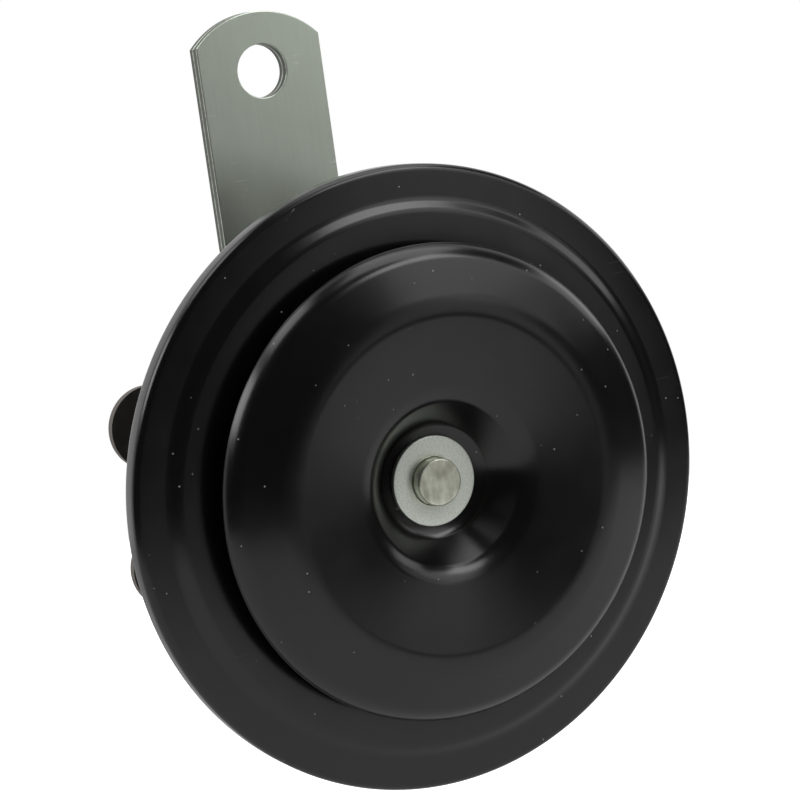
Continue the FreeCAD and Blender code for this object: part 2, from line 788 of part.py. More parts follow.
def coil_lead():
    """The coil's end that runs to the upper terminal's rivet."""
    angle = ear_angles["upper"]
    start = feed_seat() - lead_run - bobbin_rear_gap
    points = [polar(lead_coil_radius, angle, start), polar(lead_coil_radius, angle, feed_seat()),
              polar(feed_rivet_circle + feed_rivet_radius, angle, feed_seat())]
    return tube(points, lead_radius, lead_bend_radius)


def breaker_lead():
    """The coil's other end, through the pole plate to the moving leaf's tail."""
    centre = breaker_leaf_rear + lead_radius
    start = ledge_inside + bobbin_flange + lead_run
    points = [polar(lead_coil_radius, lead_plate_angle, start + lead_run),
              polar(lead_coil_radius, lead_plate_angle, start),
              polar(lead_plate_radius, lead_plate_angle, start),
              polar(lead_plate_radius, lead_plate_angle, centre)]
    return tube(points + tail_end(centre, lead_loop), lead_radius, lead_bend_radius)


def feed_lead():
    """The wire from the lower terminal's rivet, through the pole plate to the fixed arm's tail."""
    angle = ear_angles["lower"]
    centre = arm_rear + lead_radius
    points = [polar(feed_rivet_circle, angle, feed_seat() + lead_radius),
              polar(feed_rivet_circle, angle, centre)]
    return tube(points + tail_end(centre, feed_lead_loop), lead_radius, lead_bend_radius)


def pieces():
    """Every piece by the name of its node."""
    named = {
        "bracket_front_leaf": bracket_leaf(bracket_front),
        "bracket_rear_leaf": bracket_leaf(bracket_front + leaf_thickness),
        "bracket_spacer": bracket_spacer(),
        "spring_washer": spring_washer(),
        "bracket_nut": bracket_nut(),
        "rear_housing": rear_housing(),
        "front_ring": front_ring(),
        "front_gasket": gasket(ring_seat),
        "rear_gasket": gasket(diaphragm_rear),
        "diaphragm": diaphragm(),
        "tone_disc": tone_disc(),
        "tone_disc_washer": tone_disc_washer(),
        "front_hub_washer": hub_washer(floor_rear, diaphragm_front),
        "rear_hub_washer": hub_washer(diaphragm_rear, armature_front),
        "armature_stud": armature_stud(),
        "armature": armature(),
        "pusher_collar": pusher_collar(),
        "pole_core": pole_core(),
        "pole_plate": pole_plate(),
        "plate_rivets": plate_rivets(),
        "coil_bobbin": coil_bobbin(),
        "coil_winding": coil_winding(),
        "breaker_base": breaker_base(),
        "breaker_spacer": breaker_spacer(),
        "breaker_cap": breaker_cap(),
        "breaker_spring": breaker_spring(),
        "moving_contact": contact(contact_face, breaker_leaf_front),
        "fixed_contact": contact(arm_rear, contact_face),
        "fixed_contact_arm": fixed_arm(),
        "breaker_rivets": breaker_rivets(),
        "adjusting_screw": adjusting_screw(),
        "adjuster_tip": adjuster_tip(),
        "adjuster_nut": adjuster_nut(),
        "sealing_lacquer": sealing_lacquer(),
        "terminal_carrier": terminal_carrier(),
        "feed_rivets": terminal_rivets(feed_rivet_circle, back_inside - bush_flange_thickness),
        "ear_rivets": terminal_rivets(ear_rivet_circle, back_face),
        "coil_lead": coil_lead(),
        "breaker_lead": breaker_lead(),
        "feed_lead": feed_lead(),
    }
    for side, angle in ear_angles.items():
        named[side + "_terminal"] = terminal(angle)
        named[side + "_feed_bush"] = feed_bush(angle)
    return named


os.makedirs("parts", exist_ok=True)
for name, shape in pieces().items():
    shape.exportStep("parts/" + name + ".step")
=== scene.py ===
"""Dresses a packed disc horn: finishes, smooth sheet forms, threads, studio lights and camera.

Sizes are real ones in millimetres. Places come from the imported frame, which is in metres.
"""
from __future__ import annotations

import logging
import math
from dataclasses import dataclass, field
from enum import Enum
from typing import Iterable, Sequence

import bmesh
import bpy
from mathutils import Matrix, Vector

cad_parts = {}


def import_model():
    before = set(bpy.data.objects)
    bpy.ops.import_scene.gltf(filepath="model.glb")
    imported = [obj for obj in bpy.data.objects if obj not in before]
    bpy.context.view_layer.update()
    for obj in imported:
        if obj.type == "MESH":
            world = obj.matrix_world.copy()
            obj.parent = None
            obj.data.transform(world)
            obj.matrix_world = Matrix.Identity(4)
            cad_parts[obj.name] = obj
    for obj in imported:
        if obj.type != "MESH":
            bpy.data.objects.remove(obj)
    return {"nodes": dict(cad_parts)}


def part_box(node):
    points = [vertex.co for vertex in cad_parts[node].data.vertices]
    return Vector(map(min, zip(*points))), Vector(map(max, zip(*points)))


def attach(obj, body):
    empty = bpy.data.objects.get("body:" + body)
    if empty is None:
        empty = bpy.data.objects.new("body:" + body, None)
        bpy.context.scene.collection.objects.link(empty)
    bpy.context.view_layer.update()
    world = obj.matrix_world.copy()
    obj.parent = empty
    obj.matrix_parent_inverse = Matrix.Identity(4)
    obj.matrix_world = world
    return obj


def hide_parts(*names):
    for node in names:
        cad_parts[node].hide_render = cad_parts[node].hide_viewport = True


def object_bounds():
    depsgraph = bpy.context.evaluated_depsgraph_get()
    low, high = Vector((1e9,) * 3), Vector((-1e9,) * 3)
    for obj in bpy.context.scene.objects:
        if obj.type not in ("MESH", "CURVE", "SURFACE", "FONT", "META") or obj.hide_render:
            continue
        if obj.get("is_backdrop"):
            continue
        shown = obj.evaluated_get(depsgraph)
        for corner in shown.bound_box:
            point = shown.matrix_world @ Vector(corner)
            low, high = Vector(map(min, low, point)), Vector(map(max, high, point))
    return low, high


LOG = logging.getLogger("horn")
MM = 0.001
ROUND_STEPS = 240
SMALL_ROUND_STEPS = 96
BEND_STEPS = 8
SAME_PLACE = 1e-4
SHARP_ANGLE = math.radians(50.0)
SHEET_EDGE_ANGLE = math.radians(60.0)


class Body(Enum):
    """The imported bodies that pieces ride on."""

    HORN = "horn_body"
    SOUNDER = "sounder"


class Facing(Enum):
    """The way that an open sheet's drawn face looks on the whole."""

    FRONT = -1.0
    REAR = 1.0


def linear(code: str) -> tuple[float, float, float, float]:
    """Turns an sRGB hex colour into the linear values that shaders take.

    Args:
        code: The colour, such as "#1a1b1c".

    Returns:
        Red, green, blue and an alpha of 1.
    """
    shares = [int(code[i:i + 2], 16) / 255.0 for i in (1, 3, 5)]
    red, green, blue = (s / 12.92 if s <= 0.04045 else ((s + 0.055) / 1.055) ** 2.4 for s in shares)
    return red, green, blue, 1.0


def per_mm(size: float) -> float:
    """Gives a texture's scale on Object coordinates for a feature of that many millimetres."""
    return 1.0 / (size * MM)


def add_node(tree: bpy.types.NodeTree, kind: str, inputs: dict | None = None, **settings) -> bpy.types.Node:
    """Adds a shader node with its settings, values and links.

    Args:
        tree: The node tree.
        kind: The node's type name.
        inputs: A value or a linked output for each input, by name or number.
        settings: The node's own properties.

    Returns:
        The new node.
    """
    node = tree.nodes.new(kind)
    for key, value in settings.items():
        setattr(node, key, value)
    for key, value in (inputs or {}).items():
        if isinstance(value, bpy.types.NodeSocket):
            tree.links.new(value, node.inputs[key])
        else:
            node.inputs[key].default_value = value
    return node


@dataclass(frozen=True)
class Finish:
    """A surface finish: what it shares with all others, and the record's slot it belongs to."""

    name: str
    slot: str
    colour: str
    deep_colour: str
    roughness: float
    roughness_spread: float
    metallic: float
    grain: float
    grain_depth: float
    cloud: float = 18.0

    def build(self) -> bpy.types.Material:
        """Makes the material.

        Returns:
            The material, or the one made before under the same name.
        """
        made = bpy.data.materials.get(self.name)
        if made:
            return made
        made = bpy.data.materials.new(self.name)
        made.use_nodes = True
        tree = made.node_tree
        shader = tree.nodes["Principled BSDF"]
        place = add_node(tree, "ShaderNodeTexCoord").outputs["Object"]
        shader.inputs["Metallic"].default_value = self.metallic
        self.dress(tree, shader, place)
        return made

    def dress(self, tree: bpy.types.NodeTree, shader: bpy.types.Node, place: bpy.types.NodeSocket) -> None:
        """Adds the finish's own pattern. The plain one is a fine even grain.

        Args:
            tree: The material's nodes.
            shader: Its Principled shader.
            place: The Object coordinates.
        """
        fine = self.pattern(tree, place, self.grain, detail=3.0)
        broad = self.pattern(tree, place, self.grain * self.cloud, detail=2.0)
        self.tint(tree, shader, broad)
        self.vary_roughness(tree, shader, fine)
        self.emboss(tree, shader, fine, self.grain_depth)

    def pattern(self, tree: bpy.types.NodeTree, place: bpy.types.NodeSocket, size: float,
                detail: float = 2.0, stretch: Sequence[float] = (1.0, 1.0, 1.0),
                turn: Sequence[float] = (0.0, 0.0, 0.0)) -> bpy.types.NodeSocket:
        """Adds a noise whose features have a real size.

        Args:
            tree: The material's nodes.
            place: The coordinates.
            size: The features' size in millimetres.
            detail: The noise's detail.
            stretch: What each axis is multiplied by; a small number draws lines along that axis.
            turn: The pattern's rotation in radians.

        Returns:
            The noise's value.
        """
        mapped = add_node(tree, "ShaderNodeMapping", {"Vector": place, "Scale": stretch, "Rotation": turn})
        made = add_node(tree, "ShaderNodeTexNoise",
                        {"Vector": mapped.outputs["Vector"], "Scale": per_mm(size), "Detail": detail})
        return made.outputs["Fac"]

    def between(self, tree: bpy.types.NodeTree, value: bpy.types.NodeSocket, low: float, high: float,
                to_low: float = 0.0, to_high: float = 1.0) -> bpy.types.NodeSocket:
        """Spreads the part of a value between two limits over a new range.

        Args:
            tree: The material's nodes.
            value: The value to spread.
            low: The value that gives to_low.
            high: The value that gives to_high.
            to_low: The new range's start.
            to_high: The new range's end.

        Returns:
            The spread value.
        """
        spread = add_node(tree, "ShaderNodeMapRange", {"Value": value, "From Min": low, "From Max": high,
                                                       "To Min": to_low, "To Max": to_high})
        return spread.outputs["Result"]

    def tint(self, tree: bpy.types.NodeTree, shader: bpy.types.Node, share: bpy.types.NodeSocket,
             low: float = 0.35, high: float = 0.65) -> None:
        """Lets the colour move between the finish's two colours.

        Args:
            tree: The material's nodes.
            shader: The Principled shader.
            share: The pattern that moves it.
            low: The pattern's value at the deep colour.
            high: The pattern's value at the main colour.
        """
        mixed = add_node(tree, "ShaderNodeMix", {0: self.between(tree, share, low, high),
                                                 6: linear(self.deep_colour), 7: linear(self.colour)},
                         data_type="RGBA")
        tree.links.new(mixed.outputs[2], shader.inputs["Base Color"])

    def cover(self, tree: bpy.types.NodeTree, shader: bpy.types.Node, share: bpy.types.NodeSocket,
              colour: str) -> None:
        """Lays another colour over the base colour where share is 1.

        Args:
            tree: The material's nodes.
            shader: The Principled shader.
            share: How much of it shows.
            colour: The colour's hex code.
        """
        under = shader.inputs["Base Color"].links[0].from_socket
        mixed = add_node(tree, "ShaderNodeMix", {0: share, 6: under, 7: linear(colour)}, data_type="RGBA")
        tree.links.new(mixed.outputs[2], shader.inputs["Base Color"])

    def vary_roughness(self, tree: bpy.types.NodeTree, shader: bpy.types.Node,
                       share: bpy.types.NodeSocket) -> None:
        """Lets the roughness move round its middle value.

        Args:
            tree: The material's nodes.
            shader: The Principled shader.
            share: The pattern that moves it.
        """
        low, high = self.roughness - self.roughness_spread, self.roughness + self.roughness_spread
        tree.links.new(self.between(tree, share, 0.3, 0.7, low, high), shader.inputs["Roughness"])

    def emboss(self, tree: bpy.types.NodeTree, shader: bpy.types.Node, height: bpy.types.NodeSocket,
               depth: float) -> None:
        """Adds relief over what the shader already has.

        Args:
            tree: The material's nodes.
            shader: The Principled shader.
            height: The pattern that gives the relief.
            depth: The relief's real depth in millimetres.
        """
        bump = add_node(tree, "ShaderNodeBump", {"Height": height, "Distance": depth * MM, "Strength": 1.0})
        before = shader.inputs["Normal"].links
        if before:
            tree.links.new(before[0].from_socket, bump.inputs["Normal"])
        tree.links.new(bump.outputs["Normal"], shader.inputs["Normal"])


@dataclass(frozen=True)
class DipCoat(Finish):
    """Black dip coat on pressed steel: a satin skin with faint orange peel, dust and hairline scratches."""

    peel: float = 1.1
    peel_depth: float = 0.0025
    blotch: float = 14.0
    gloss_patch: float = 5.0
    dust_spacing: float = 2.1
    dust_radius: float = 0.15
    dust_kept: float = 0.7
    dust_colour: str = "#a3a19c"
    scratch_colour: str = "#4a4a49"
    scratch_width: float = 0.35
    scratch_stretch: float = 0.012
    scratch_turn: tuple[float, float, float] = (0.3, 0.5, 0.2)
    nick: tuple[tuple[float, float, float], tuple[float, float, float]] = (
        (-16.5, -43.7, -20.5), (-18.3, -43.7, -22.1))
    nick_half_width: float = 0.12
    nick_tear: float = 0.3
    nick_tear_depth: float = 0.5

    def dress(self, tree: bpy.types.NodeTree, shader: bpy.types.Node, place: bpy.types.NodeSocket) -> None:
        """Adds peel, dust specks and scratches.

        Args:
            tree: The material's nodes.
            shader: Its Principled shader.
            place: The Object coordinates.
        """
        self.tint(tree, shader, self.pattern(tree, place, self.blotch))
        self.vary_roughness(tree, shader, self.pattern(tree, place, self.gloss_patch, detail=4.0))
        self.emboss(tree, shader, self.pattern(tree, place, self.peel), self.peel_depth)
        self.emboss(tree, shader, self.pattern(tree, place, self.grain), self.grain_depth)
        self.cover(tree, shader, self.specks(tree, place), self.dust_colour)
        self.cover(tree, shader, self.hairlines(tree, place), self.scratch_colour)
        self.cover(tree, shader, self.nicked(tree, place), self.dust_colour)

    def specks(self, tree: bpy.types.NodeTree, place: bpy.types.NodeSocket) -> bpy.types.NodeSocket:
        """Scatters small round specks, in some of the cells only.

        Args:
            tree: The material's nodes.
            place: The Object coordinates.

        Returns:
            1 on a speck and 0 elsewhere.
        """
        cells = add_node(tree, "ShaderNodeTexVoronoi",
                         {"Vector": place, "Scale": per_mm(self.dust_spacing)})
        edge = self.dust_radius / self.dust_spacing
        inside = self.between(tree, cells.outputs["Distance"], edge, edge * 0.5)
        parts = add_node(tree, "ShaderNodeSeparateColor", {"Color": cells.outputs["Color"]})
        kept = self.between(tree, parts.outputs["Red"], self.dust_kept, self.dust_kept + 0.01)
        both = add_node(tree, "ShaderNodeMath", {0: inside, 1: kept}, operation="MULTIPLY")
        return both.outputs["Value"]

    def hairlines(self, tree: bpy.types.NodeTree, place: bpy.types.NodeSocket) -> bpy.types.NodeSocket:
        """Draws a few faint straight scratches one way.

        Args:
            tree: The material's nodes.
            place: The Object coordinates.

        Returns:
            A weak mask.
        """
        lines = self.pattern(tree, place, self.scratch_width, detail=0.0,
                             stretch=(self.scratch_stretch, 1.0, 1.0), turn=self.scratch_turn)
        thin = self.between(tree, lines, 0.77, 0.82, 0.0, 0.3)
        patches = self.between(tree, self.pattern(tree, place, self.blotch), 0.6, 0.7)
        both = add_node(tree, "ShaderNodeMath", {0: thin, 1: patches}, operation="MULTIPLY")
        return both.outputs["Value"]

    def nicked(self, tree: bpy.types.NodeTree, place: bpy.types.NodeSocket) -> bpy.types.NodeSocket:
        """Marks the one deeper nick in the coat, on the rim beside the bracket.

        Args:
            tree: The material's nodes.
            place: The Object coordinates.

        Returns:
            A mask round the nick's line.
        """
        start, end = (Vector(point) * MM for point in self.nick)
        run = end - start
        along = add_node(tree, "ShaderNodeVectorMath", {0: place, 1: start}, operation="SUBTRACT")
        reach = add_node(tree, "ShaderNodeVectorMath", {0: along.outputs["Vector"],
                                                        1: run / run.length_squared},
                         operation="DOT_PRODUCT")
        held = add_node(tree, "ShaderNodeClamp", {"Value": reach.outputs["Value"]})
        foot = add_node(tree, "ShaderNodeVectorMath", {0: run, "Scale": held.outputs["Result"]},
                        operation="SCALE")
        gap = add_node(tree, "ShaderNodeVectorMath", {0: along.outputs["Vector"], 1: foot.outputs["Vector"]},
                       operation="DISTANCE")
        tear = self.pattern(tree, place, self.nick_tear)
        ragged = add_node(tree, "ShaderNodeMath",
                          {0: tear, 1: self.nick_tear_depth * MM, 2: gap.outputs["Value"]},
                          operation="MULTIPLY_ADD")
        near = self.nick_half_width * MM
        return self.between(tree, ragged.outputs["Value"], near * 2.4, near * 1.6, 0.0, 0.6)


@dataclass(frozen=True)
class RolledZinc(Finish):
    """Zinc-plated strip: faint lines from the rolls, soft clouds, handling marks and sheared edges."""

    line_width: float = 0.16
    line_stretch: float = 0.015
    line_depth: float = 0.0012
    line_share: float = 0.35
    blotch: float = 9.0
    mark_width: float = 0.22
    mark_stretch: float = 0.04
    mark_patch: float = 5.0
    leaf: float = 1.5
    tear: float = 0.5
    tear_share: float = 0.3
    torn_roughness: float = 0.72
    mark_colour: str = "#eef0ec"
    shear_colour: str = "#6e706b"

    def dress(self, tree: bpy.types.NodeTree, shader: bpy.types.Node, place: bpy.types.NodeSocket) -> None:
        """Adds rolling lines along Z, clouds, a few marks, and a burnished and a torn band on cut edges.

        Args:
            tree: The material's nodes.
            shader: Its Principled shader.
            place: The Object coordinates.
        """
        lines = self.pattern(tree, place, self.line_width, detail=2.0, stretch=(1.0, 1.0, self.line_stretch))
        clouds = self.pattern(tree, place, self.blotch, detail=4.0, stretch=(1.0, 1.0, 0.6))
        both = add_node(tree, "ShaderNodeMix", {0: self.line_share, 2: clouds, 3: lines})
        self.tint(tree, shader, both.outputs[0], 0.3, 0.7)
        self.cover(tree, shader, self.marks(tree, place), self.mark_colour)
        edge = self.cut_edge(tree)
        torn = self.torn_band(tree, place)
        both = add_node(tree, "ShaderNodeMath", {0: edge, 1: torn}, operation="MULTIPLY")
        self.cover(tree, shader, both.outputs["Value"], self.shear_colour)
        face = self.between(tree, clouds, 0.3, 0.7, self.roughness - self.roughness_spread,
                            self.roughness + self.roughness_spread)
        rough = add_node(tree, "ShaderNodeMix", {0: both.outputs["Value"], 2: face, 3: self.torn_roughness})
        tree.links.new(rough.outputs[0], shader.inputs["Roughness"])
        self.emboss(tree, shader, lines, self.line_depth)
        self.emboss(tree, shader, self.pattern(tree, place, self.grain), self.grain_depth)

    def marks(self, tree: bpy.types.NodeTree, place: bpy.types.NodeSocket) -> bpy.types.NodeSocket:
        """Draws a few faint scratches across the strip, in patches.

        Args:
            tree: The material's nodes.
            place: The Object coordinates.

        Returns:
            A weak mask.
        """
        across = self.pattern(tree, place, self.mark_width, detail=0.0,
                              stretch=(self.mark_stretch, 1.0, 1.0), turn=(0.0, 0.05, 0.0))
        thin = self.between(tree, across, 0.68, 0.76, 0.0, 0.55)
        patches = self.between(tree, self.pattern(tree, place, self.mark_patch), 0.6, 0.7)
        share = add_node(tree, "ShaderNodeMath", {0: thin, 1: patches}, operation="MULTIPLY")
        return share.outputs["Value"]

    def cut_edge(self, tree: bpy.types.NodeTree) -> bpy.types.NodeSocket:
        """Tells the strip's cut edges, which look sideways, from its two faces.

        Args:
            tree: The material's nodes.

        Returns:
            1 on a cut edge and 0 on a face.
        """
        normal = add_node(tree, "ShaderNodeNewGeometry").outputs["Normal"]
        parts = add_node(tree, "ShaderNodeSeparateXYZ", {"Vector": normal})
        flat = add_node(tree, "ShaderNodeMath", {0: parts.outputs["Y"]}, operation="ABSOLUTE")
        return self.between(tree, flat.outputs["Value"], 0.75, 0.45)

    def torn_band(self, tree: bpy.types.NodeTree, place: bpy.types.NodeSocket) -> bpy.types.NodeSocket:
        """Follows each leaf's thickness: burnished by the punch in front, torn and dull behind.

        Args:
            tree: The material's nodes.
            place: The Object coordinates.

        Returns:
            0 on the burnished band, rising to 1 on the torn one.
        """
        ragged = self.pattern(tree, place, self.tear, detail=3.0)
        parts = add_node(tree, "ShaderNodeSeparateXYZ", {"Vector": place})
        depth = add_node(tree, "ShaderNodeMath", {0: parts.outputs["Y"], 1: self.leaf * MM},
                         operation="FLOORED_MODULO")
        share = add_node(tree, "ShaderNodeMath", {0: depth.outputs["Value"], 1: per_mm(self.leaf)},
                         operation="MULTIPLY")
        uneven = add_node(tree, "ShaderNodeMath",
                          {0: ragged, 1: self.tear_share, 2: share.outputs["Value"]},
                          operation="MULTIPLY_ADD")
        return self.between(tree, uneven.outputs["Value"], 0.2, 0.4)


@dataclass(frozen=True)
class PeenedEnd(Finish):
    """Bare steel, cut off and hammered over: a dull streaky face with small dents."""

    dent: float = 1.5
    dent_depth: float = 0.05
    mottle: float = 2.2
    streak: float = 1.3
    streak_stretch: float = 0.22
    streak_turn: float = -0.5

    def dress(self, tree: bpy.types.NodeTree, shader: bpy.types.Node, place: bpy.types.NodeSocket) -> None:
        """Adds mottling and dents.

        Args:
            tree: The material's nodes.
            shader: Its Principled shader.
            place: The Object coordinates.
        """
        mottle = self.pattern(tree, place, self.mottle, detail=4.0)
        streaks = self.pattern(tree, place, self.streak, stretch=(1.0, 1.0, self.streak_stretch),
                               turn=(0.0, self.streak_turn, 0.0))
        both = add_node(tree, "ShaderNodeMix", {0: 0.5, 2: mottle, 3: streaks})
        self.tint(tree, shader, both.outputs[0], 0.36, 0.62)
        self.vary_roughness(tree, shader, mottle)
        self.emboss(tree, shader, self.pattern(tree, place, self.dent), self.dent_depth)
        self.emboss(tree, shader, self.pattern(tree, place, self.grain), self.grain_depth)


@dataclass(frozen=True)
class WoundWire(Finish):
    """Enamelled copper wire, wound turn beside turn about the horn's axis, with painted shade in the grooves
    between turns and lighter painted crests.
    """

    wire_pitch: float = 0.55
    shade_patch: float = 2.0

    def dress(self, tree: bpy.types.NodeTree, shader: bpy.types.Node, place: bpy.types.NodeSocket) -> None:
        """Adds a ridge for each turn, with painted shade: the colour goes to the deep colour in the grooves
        between turns and to the main colour on the crests. The wave texture's bands are pi / 10 of its unit
        apart.

        Args:
            tree: The material's nodes.
            shader: Its Principled shader.
            place: The Object coordinates.
        """
        turns = add_node(tree, "ShaderNodeTexWave",
                         {"Vector": place, "Scale": per_mm(self.wire_pitch) * math.pi / 10.0},
                         bands_direction="Y")
        # Painted shade: the grooves between turns take the darker deep colour and the crests take the lighter
        # main colour
        self.tint(tree, shader, turns.outputs["Fac"], 0.1, 0.9)
        self.vary_roughness(tree, shader, self.pattern(tree, place, self.shade_patch))
        self.emboss(tree, shader, turns.outputs["Fac"], self.wire_pitch / 3.0)


@dataclass(frozen=True)
class Laminate(Finish):
    """Paper laminate board, punched: a dark flat face and lighter, fibrous edges."""

    weave: float = 3.0
    ply: float = 0.18
    edge_colour: str = "#6d6257"

    def dress(self, tree: bpy.types.NodeTree, shader: bpy.types.Node, place: bpy.types.NodeSocket) -> None:
        """Adds a cloth-like grain, and plies where the surface isn't flat to the board.

        Args:
            tree: The material's nodes.
            shader: Its Principled shader.
            place: The Object coordinates.
        """
        self.tint(tree, shader, self.pattern(tree, place, self.weave, detail=4.0))
        plies = self.pattern(tree, place, self.ply, stretch=(0.1, 1.0, 0.1))
        normal = add_node(tree, "ShaderNodeNewGeometry").outputs["True Normal"]
        parts = add_node(tree, "ShaderNodeSeparateXYZ", {"Vector": normal})
        flat = add_node(tree, "ShaderNodeMath", {0: parts.outputs["Y"]}, operation="ABSOLUTE")
        edge = self.between(tree, flat.outputs["Value"], 0.6, 0.3)
        share = add_node(tree, "ShaderNodeMath", {0: edge, 1: plies}, operation="MULTIPLY")
        self.cover(tree, shader, share.outputs["Value"], self.edge_colour)
        self.vary_roughness(tree, shader, plies)
        self.emboss(tree, shader, self.pattern(tree, place, self.grain), self.grain_depth)


# Cathodic dip coat on pressed steel: near black and satin, with soft reflections
BLACK_COAT = DipCoat("Black_dip_coat", "black_coated_steel", "#080808", "#060606",
                     0.22, 0.02, 0.0, 0.22, 0.0008)
# Zinc-plated rolled steel: a metal, grey with a trace of green, streaked the way it was rolled
ZINC_STRIP = RolledZinc("Zinc_plated_strip", "zinc_plated_steel", "#cdd6c9", "#c1c9bc",
                        0.36, 0.03, 1.0, 0.3, 0.0015)
# Bright zinc on stamped washers: lighter, with a fine sandy grain
ZINC_PARTS = Finish("Bright_zinc", "zinc_plated_washer", "#e4e9e1", "#d1d7cc",
                    0.42, 0.05, 1.0, 0.18, 0.007, 1.7)
# Zinc on the nut, spacer, rivets and screw: a plain grey metal
ZINC_HARDWARE = Finish("Zinc_hardware", "zinc_plated_steel", "#c2c3be", "#a9aaa5",
                       0.34, 0.06, 1.0, 0.2, 0.002)
# Bare steel, hammered over: light grey with a trace of yellow, dull and dented
PEENED_STEEL = PeenedEnd("Peened_steel", "bare_steel", "#e7e9da", "#b0b0a0", 0.42, 0.08, 1.0, 0.2, 0.006)
# Bare turned steel of the core, its stud and the armature: a darker, plain grey metal
TURNED_STEEL = Finish("Turned_steel", "bare_steel", "#a8a49e", "#8f8b85", 0.38, 0.06, 1.0, 0.2, 0.002)
# Rolled spring steel: smooth, a little blue
SPRING_STEEL = Finish("Spring_steel", "spring_steel", "#8d9196", "#7a7e83", 0.28, 0.05, 1.0, 0.4, 0.001)
# Oiled gasket paper: soft and fibrous
GASKET_PAPER = Finish("Gasket_paper", "gasket_paper", "#7c766a", "#5f594f", 0.86, 0.06, 0.0, 0.25, 0.02)
# Punched phenolic paper laminate
CARRIER_BOARD = Laminate("Phenolic_board", "moulded_insulator", "#2b2826", "#1f1d1b",
                         0.5, 0.08, 0.0, 0.2, 0.006)
# Moulded phenolic: black and dull
PHENOLIC = Finish("Moulded_phenolic", "moulded_insulator", "#242220", "#1a1817", 0.55, 0.06, 0.0, 0.3, 0.006)
# Natural nylon: milky and waxy
NYLON = Finish("Natural_nylon", "moulded_bobbin", "#d8d0ba", "#c9c0a8", 0.42, 0.05, 0.0, 0.5, 0.003)
# Enamelled copper wire; its darker second colour is painted shade in the grooves between turns
COPPER_WIRE = WoundWire("Enamelled_copper", "enamelled_copper", "#b5562a", "#6b2c14",
                        0.3, 0.05, 1.0, 0.5, 0.01)
# Rolled brass strip, and the same under tin
BRASS = Finish("Rolled_brass", "brass_strip", "#cfa75a", "#b58f48", 0.33, 0.05, 1.0, 0.25, 0.002)
TINNED_BRASS = Finish("Tinned_brass", "tinned_brass", "#c9c6ba", "#b3afa2", 0.34, 0.07, 1.0, 0.25, 0.003)
# Tungsten contact faces
TUNGSTEN = Finish("Contact_metal", "contact_metal", "#a8a6a3", "#8b8987", 0.4, 0.06, 1.0, 0.2, 0.002)
# Red sealing lacquer: glossy and a little lumpy
LACQUER = Finish("Sealing_lacquer", "red_lacquer", "#8e1c17", "#6f120f", 0.22, 0.05, 0.0, 0.9, 0.03)

CARRIED_OVER = {
    GASKET_PAPER: ("front_gasket", "rear_gasket"),
    SPRING_STEEL: ("diaphragm", "breaker_spring"),
    ZINC_PARTS: ("front_hub_washer", "rear_hub_washer"),
    TURNED_STEEL: ("armature", "pole_plate"),
    PHENOLIC: ("pusher_collar", "breaker_base", "breaker_spacer", "breaker_cap", "adjuster_tip"),
    NYLON: ("coil_bobbin", "upper_feed_bush", "lower_feed_bush"),
    COPPER_WIRE: ("coil_winding", "coil_lead", "breaker_lead", "feed_lead"),
    TUNGSTEN: ("moving_contact", "fixed_contact"),
    BRASS: ("fixed_contact_arm", "breaker_rivets"),
    TINNED_BRASS: ("upper_terminal", "lower_terminal", "feed_rivets", "ear_rivets"),
    ZINC_HARDWARE: ("plate_rivets", "bracket_spacer", "spring_washer", "adjusting_screw", "adjuster_nut"),
    CARRIER_BOARD: ("terminal_carrier",),
    LACQUER: ("sealing_lacquer",),
}


@dataclass(frozen=True)
class Span:
    """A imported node's box in millimetres."""

    low: Vector
    high: Vector

    @classmethod
    def of(cls, node: str) -> "Span":
        """Reads the box of one node."""
        low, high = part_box(node)
        return cls(low / MM, high / MM)

    @property
    def middle(self) -> Vector:
        """The box's middle."""
        return (self.low + self.high) / 2.0

    @property
    def radius(self) -> float:
        """Half the larger of the box's width and height, for a round piece."""
        return max(self.high.x - self.low.x, self.high.z - self.low.z) / 2.0


@dataclass(frozen=True)
class Piece:
    """How a new mesh joins the object: its name, body, finish and the nodes that it stands for."""

    name: str
    rides_on: Body
    finish: Finish
    replaces: tuple[str, ...]
    sharp_over: float = 38.0

    def place(self, bm: bmesh.types.BMesh, facing: Facing | None = None) -> bpy.types.Object:
        """Turns the mesh into an object on its body.

        Args:
            bm: The mesh in millimetres, in its place. It is freed.
            facing: The way that an open sheet looks, or None for a closed solid.

        Returns:
            The object.
        """
        bmesh.ops.remove_doubles(bm, verts=bm.verts, dist=SAME_PLACE)
        bmesh.ops.recalc_face_normals(bm, faces=bm.faces)
        if facing and facing.value * sum(f.normal.y * f.calc_area() for f in bm.faces) < 0.0:
            bmesh.ops.reverse_faces(bm, faces=bm.faces)
        bmesh.ops.scale(bm, vec=(MM, MM, MM), verts=bm.verts)
        bm.normal_update()
        limit = math.radians(self.sharp_over)
        for face in bm.faces:
            face.smooth = True
        for edge in bm.edges:
            edge.smooth = len(edge.link_faces) != 2 or edge.calc_face_angle(0.0) < limit
        mesh = bpy.data.meshes.new(self.name)
        bm.to_mesh(mesh)
        bm.free()
        mesh.materials.append(self.finish.build())
        made = bpy.data.objects.new(self.name, mesh)
        bpy.context.scene.collection.objects.link(made)
        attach(made, self.rides_on.value)
        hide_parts(*self.replaces)
        LOG.info("%s: %d faces on %s", self.name, len(mesh.polygons), self.rides_on.value)
        return made


@dataclass(frozen=True)
class Corner:
    """A corner of a section: radius from the axis, station along Y and bend radius, in millimetres."""

    radius: float
    station: float
    bend: float = 0.0


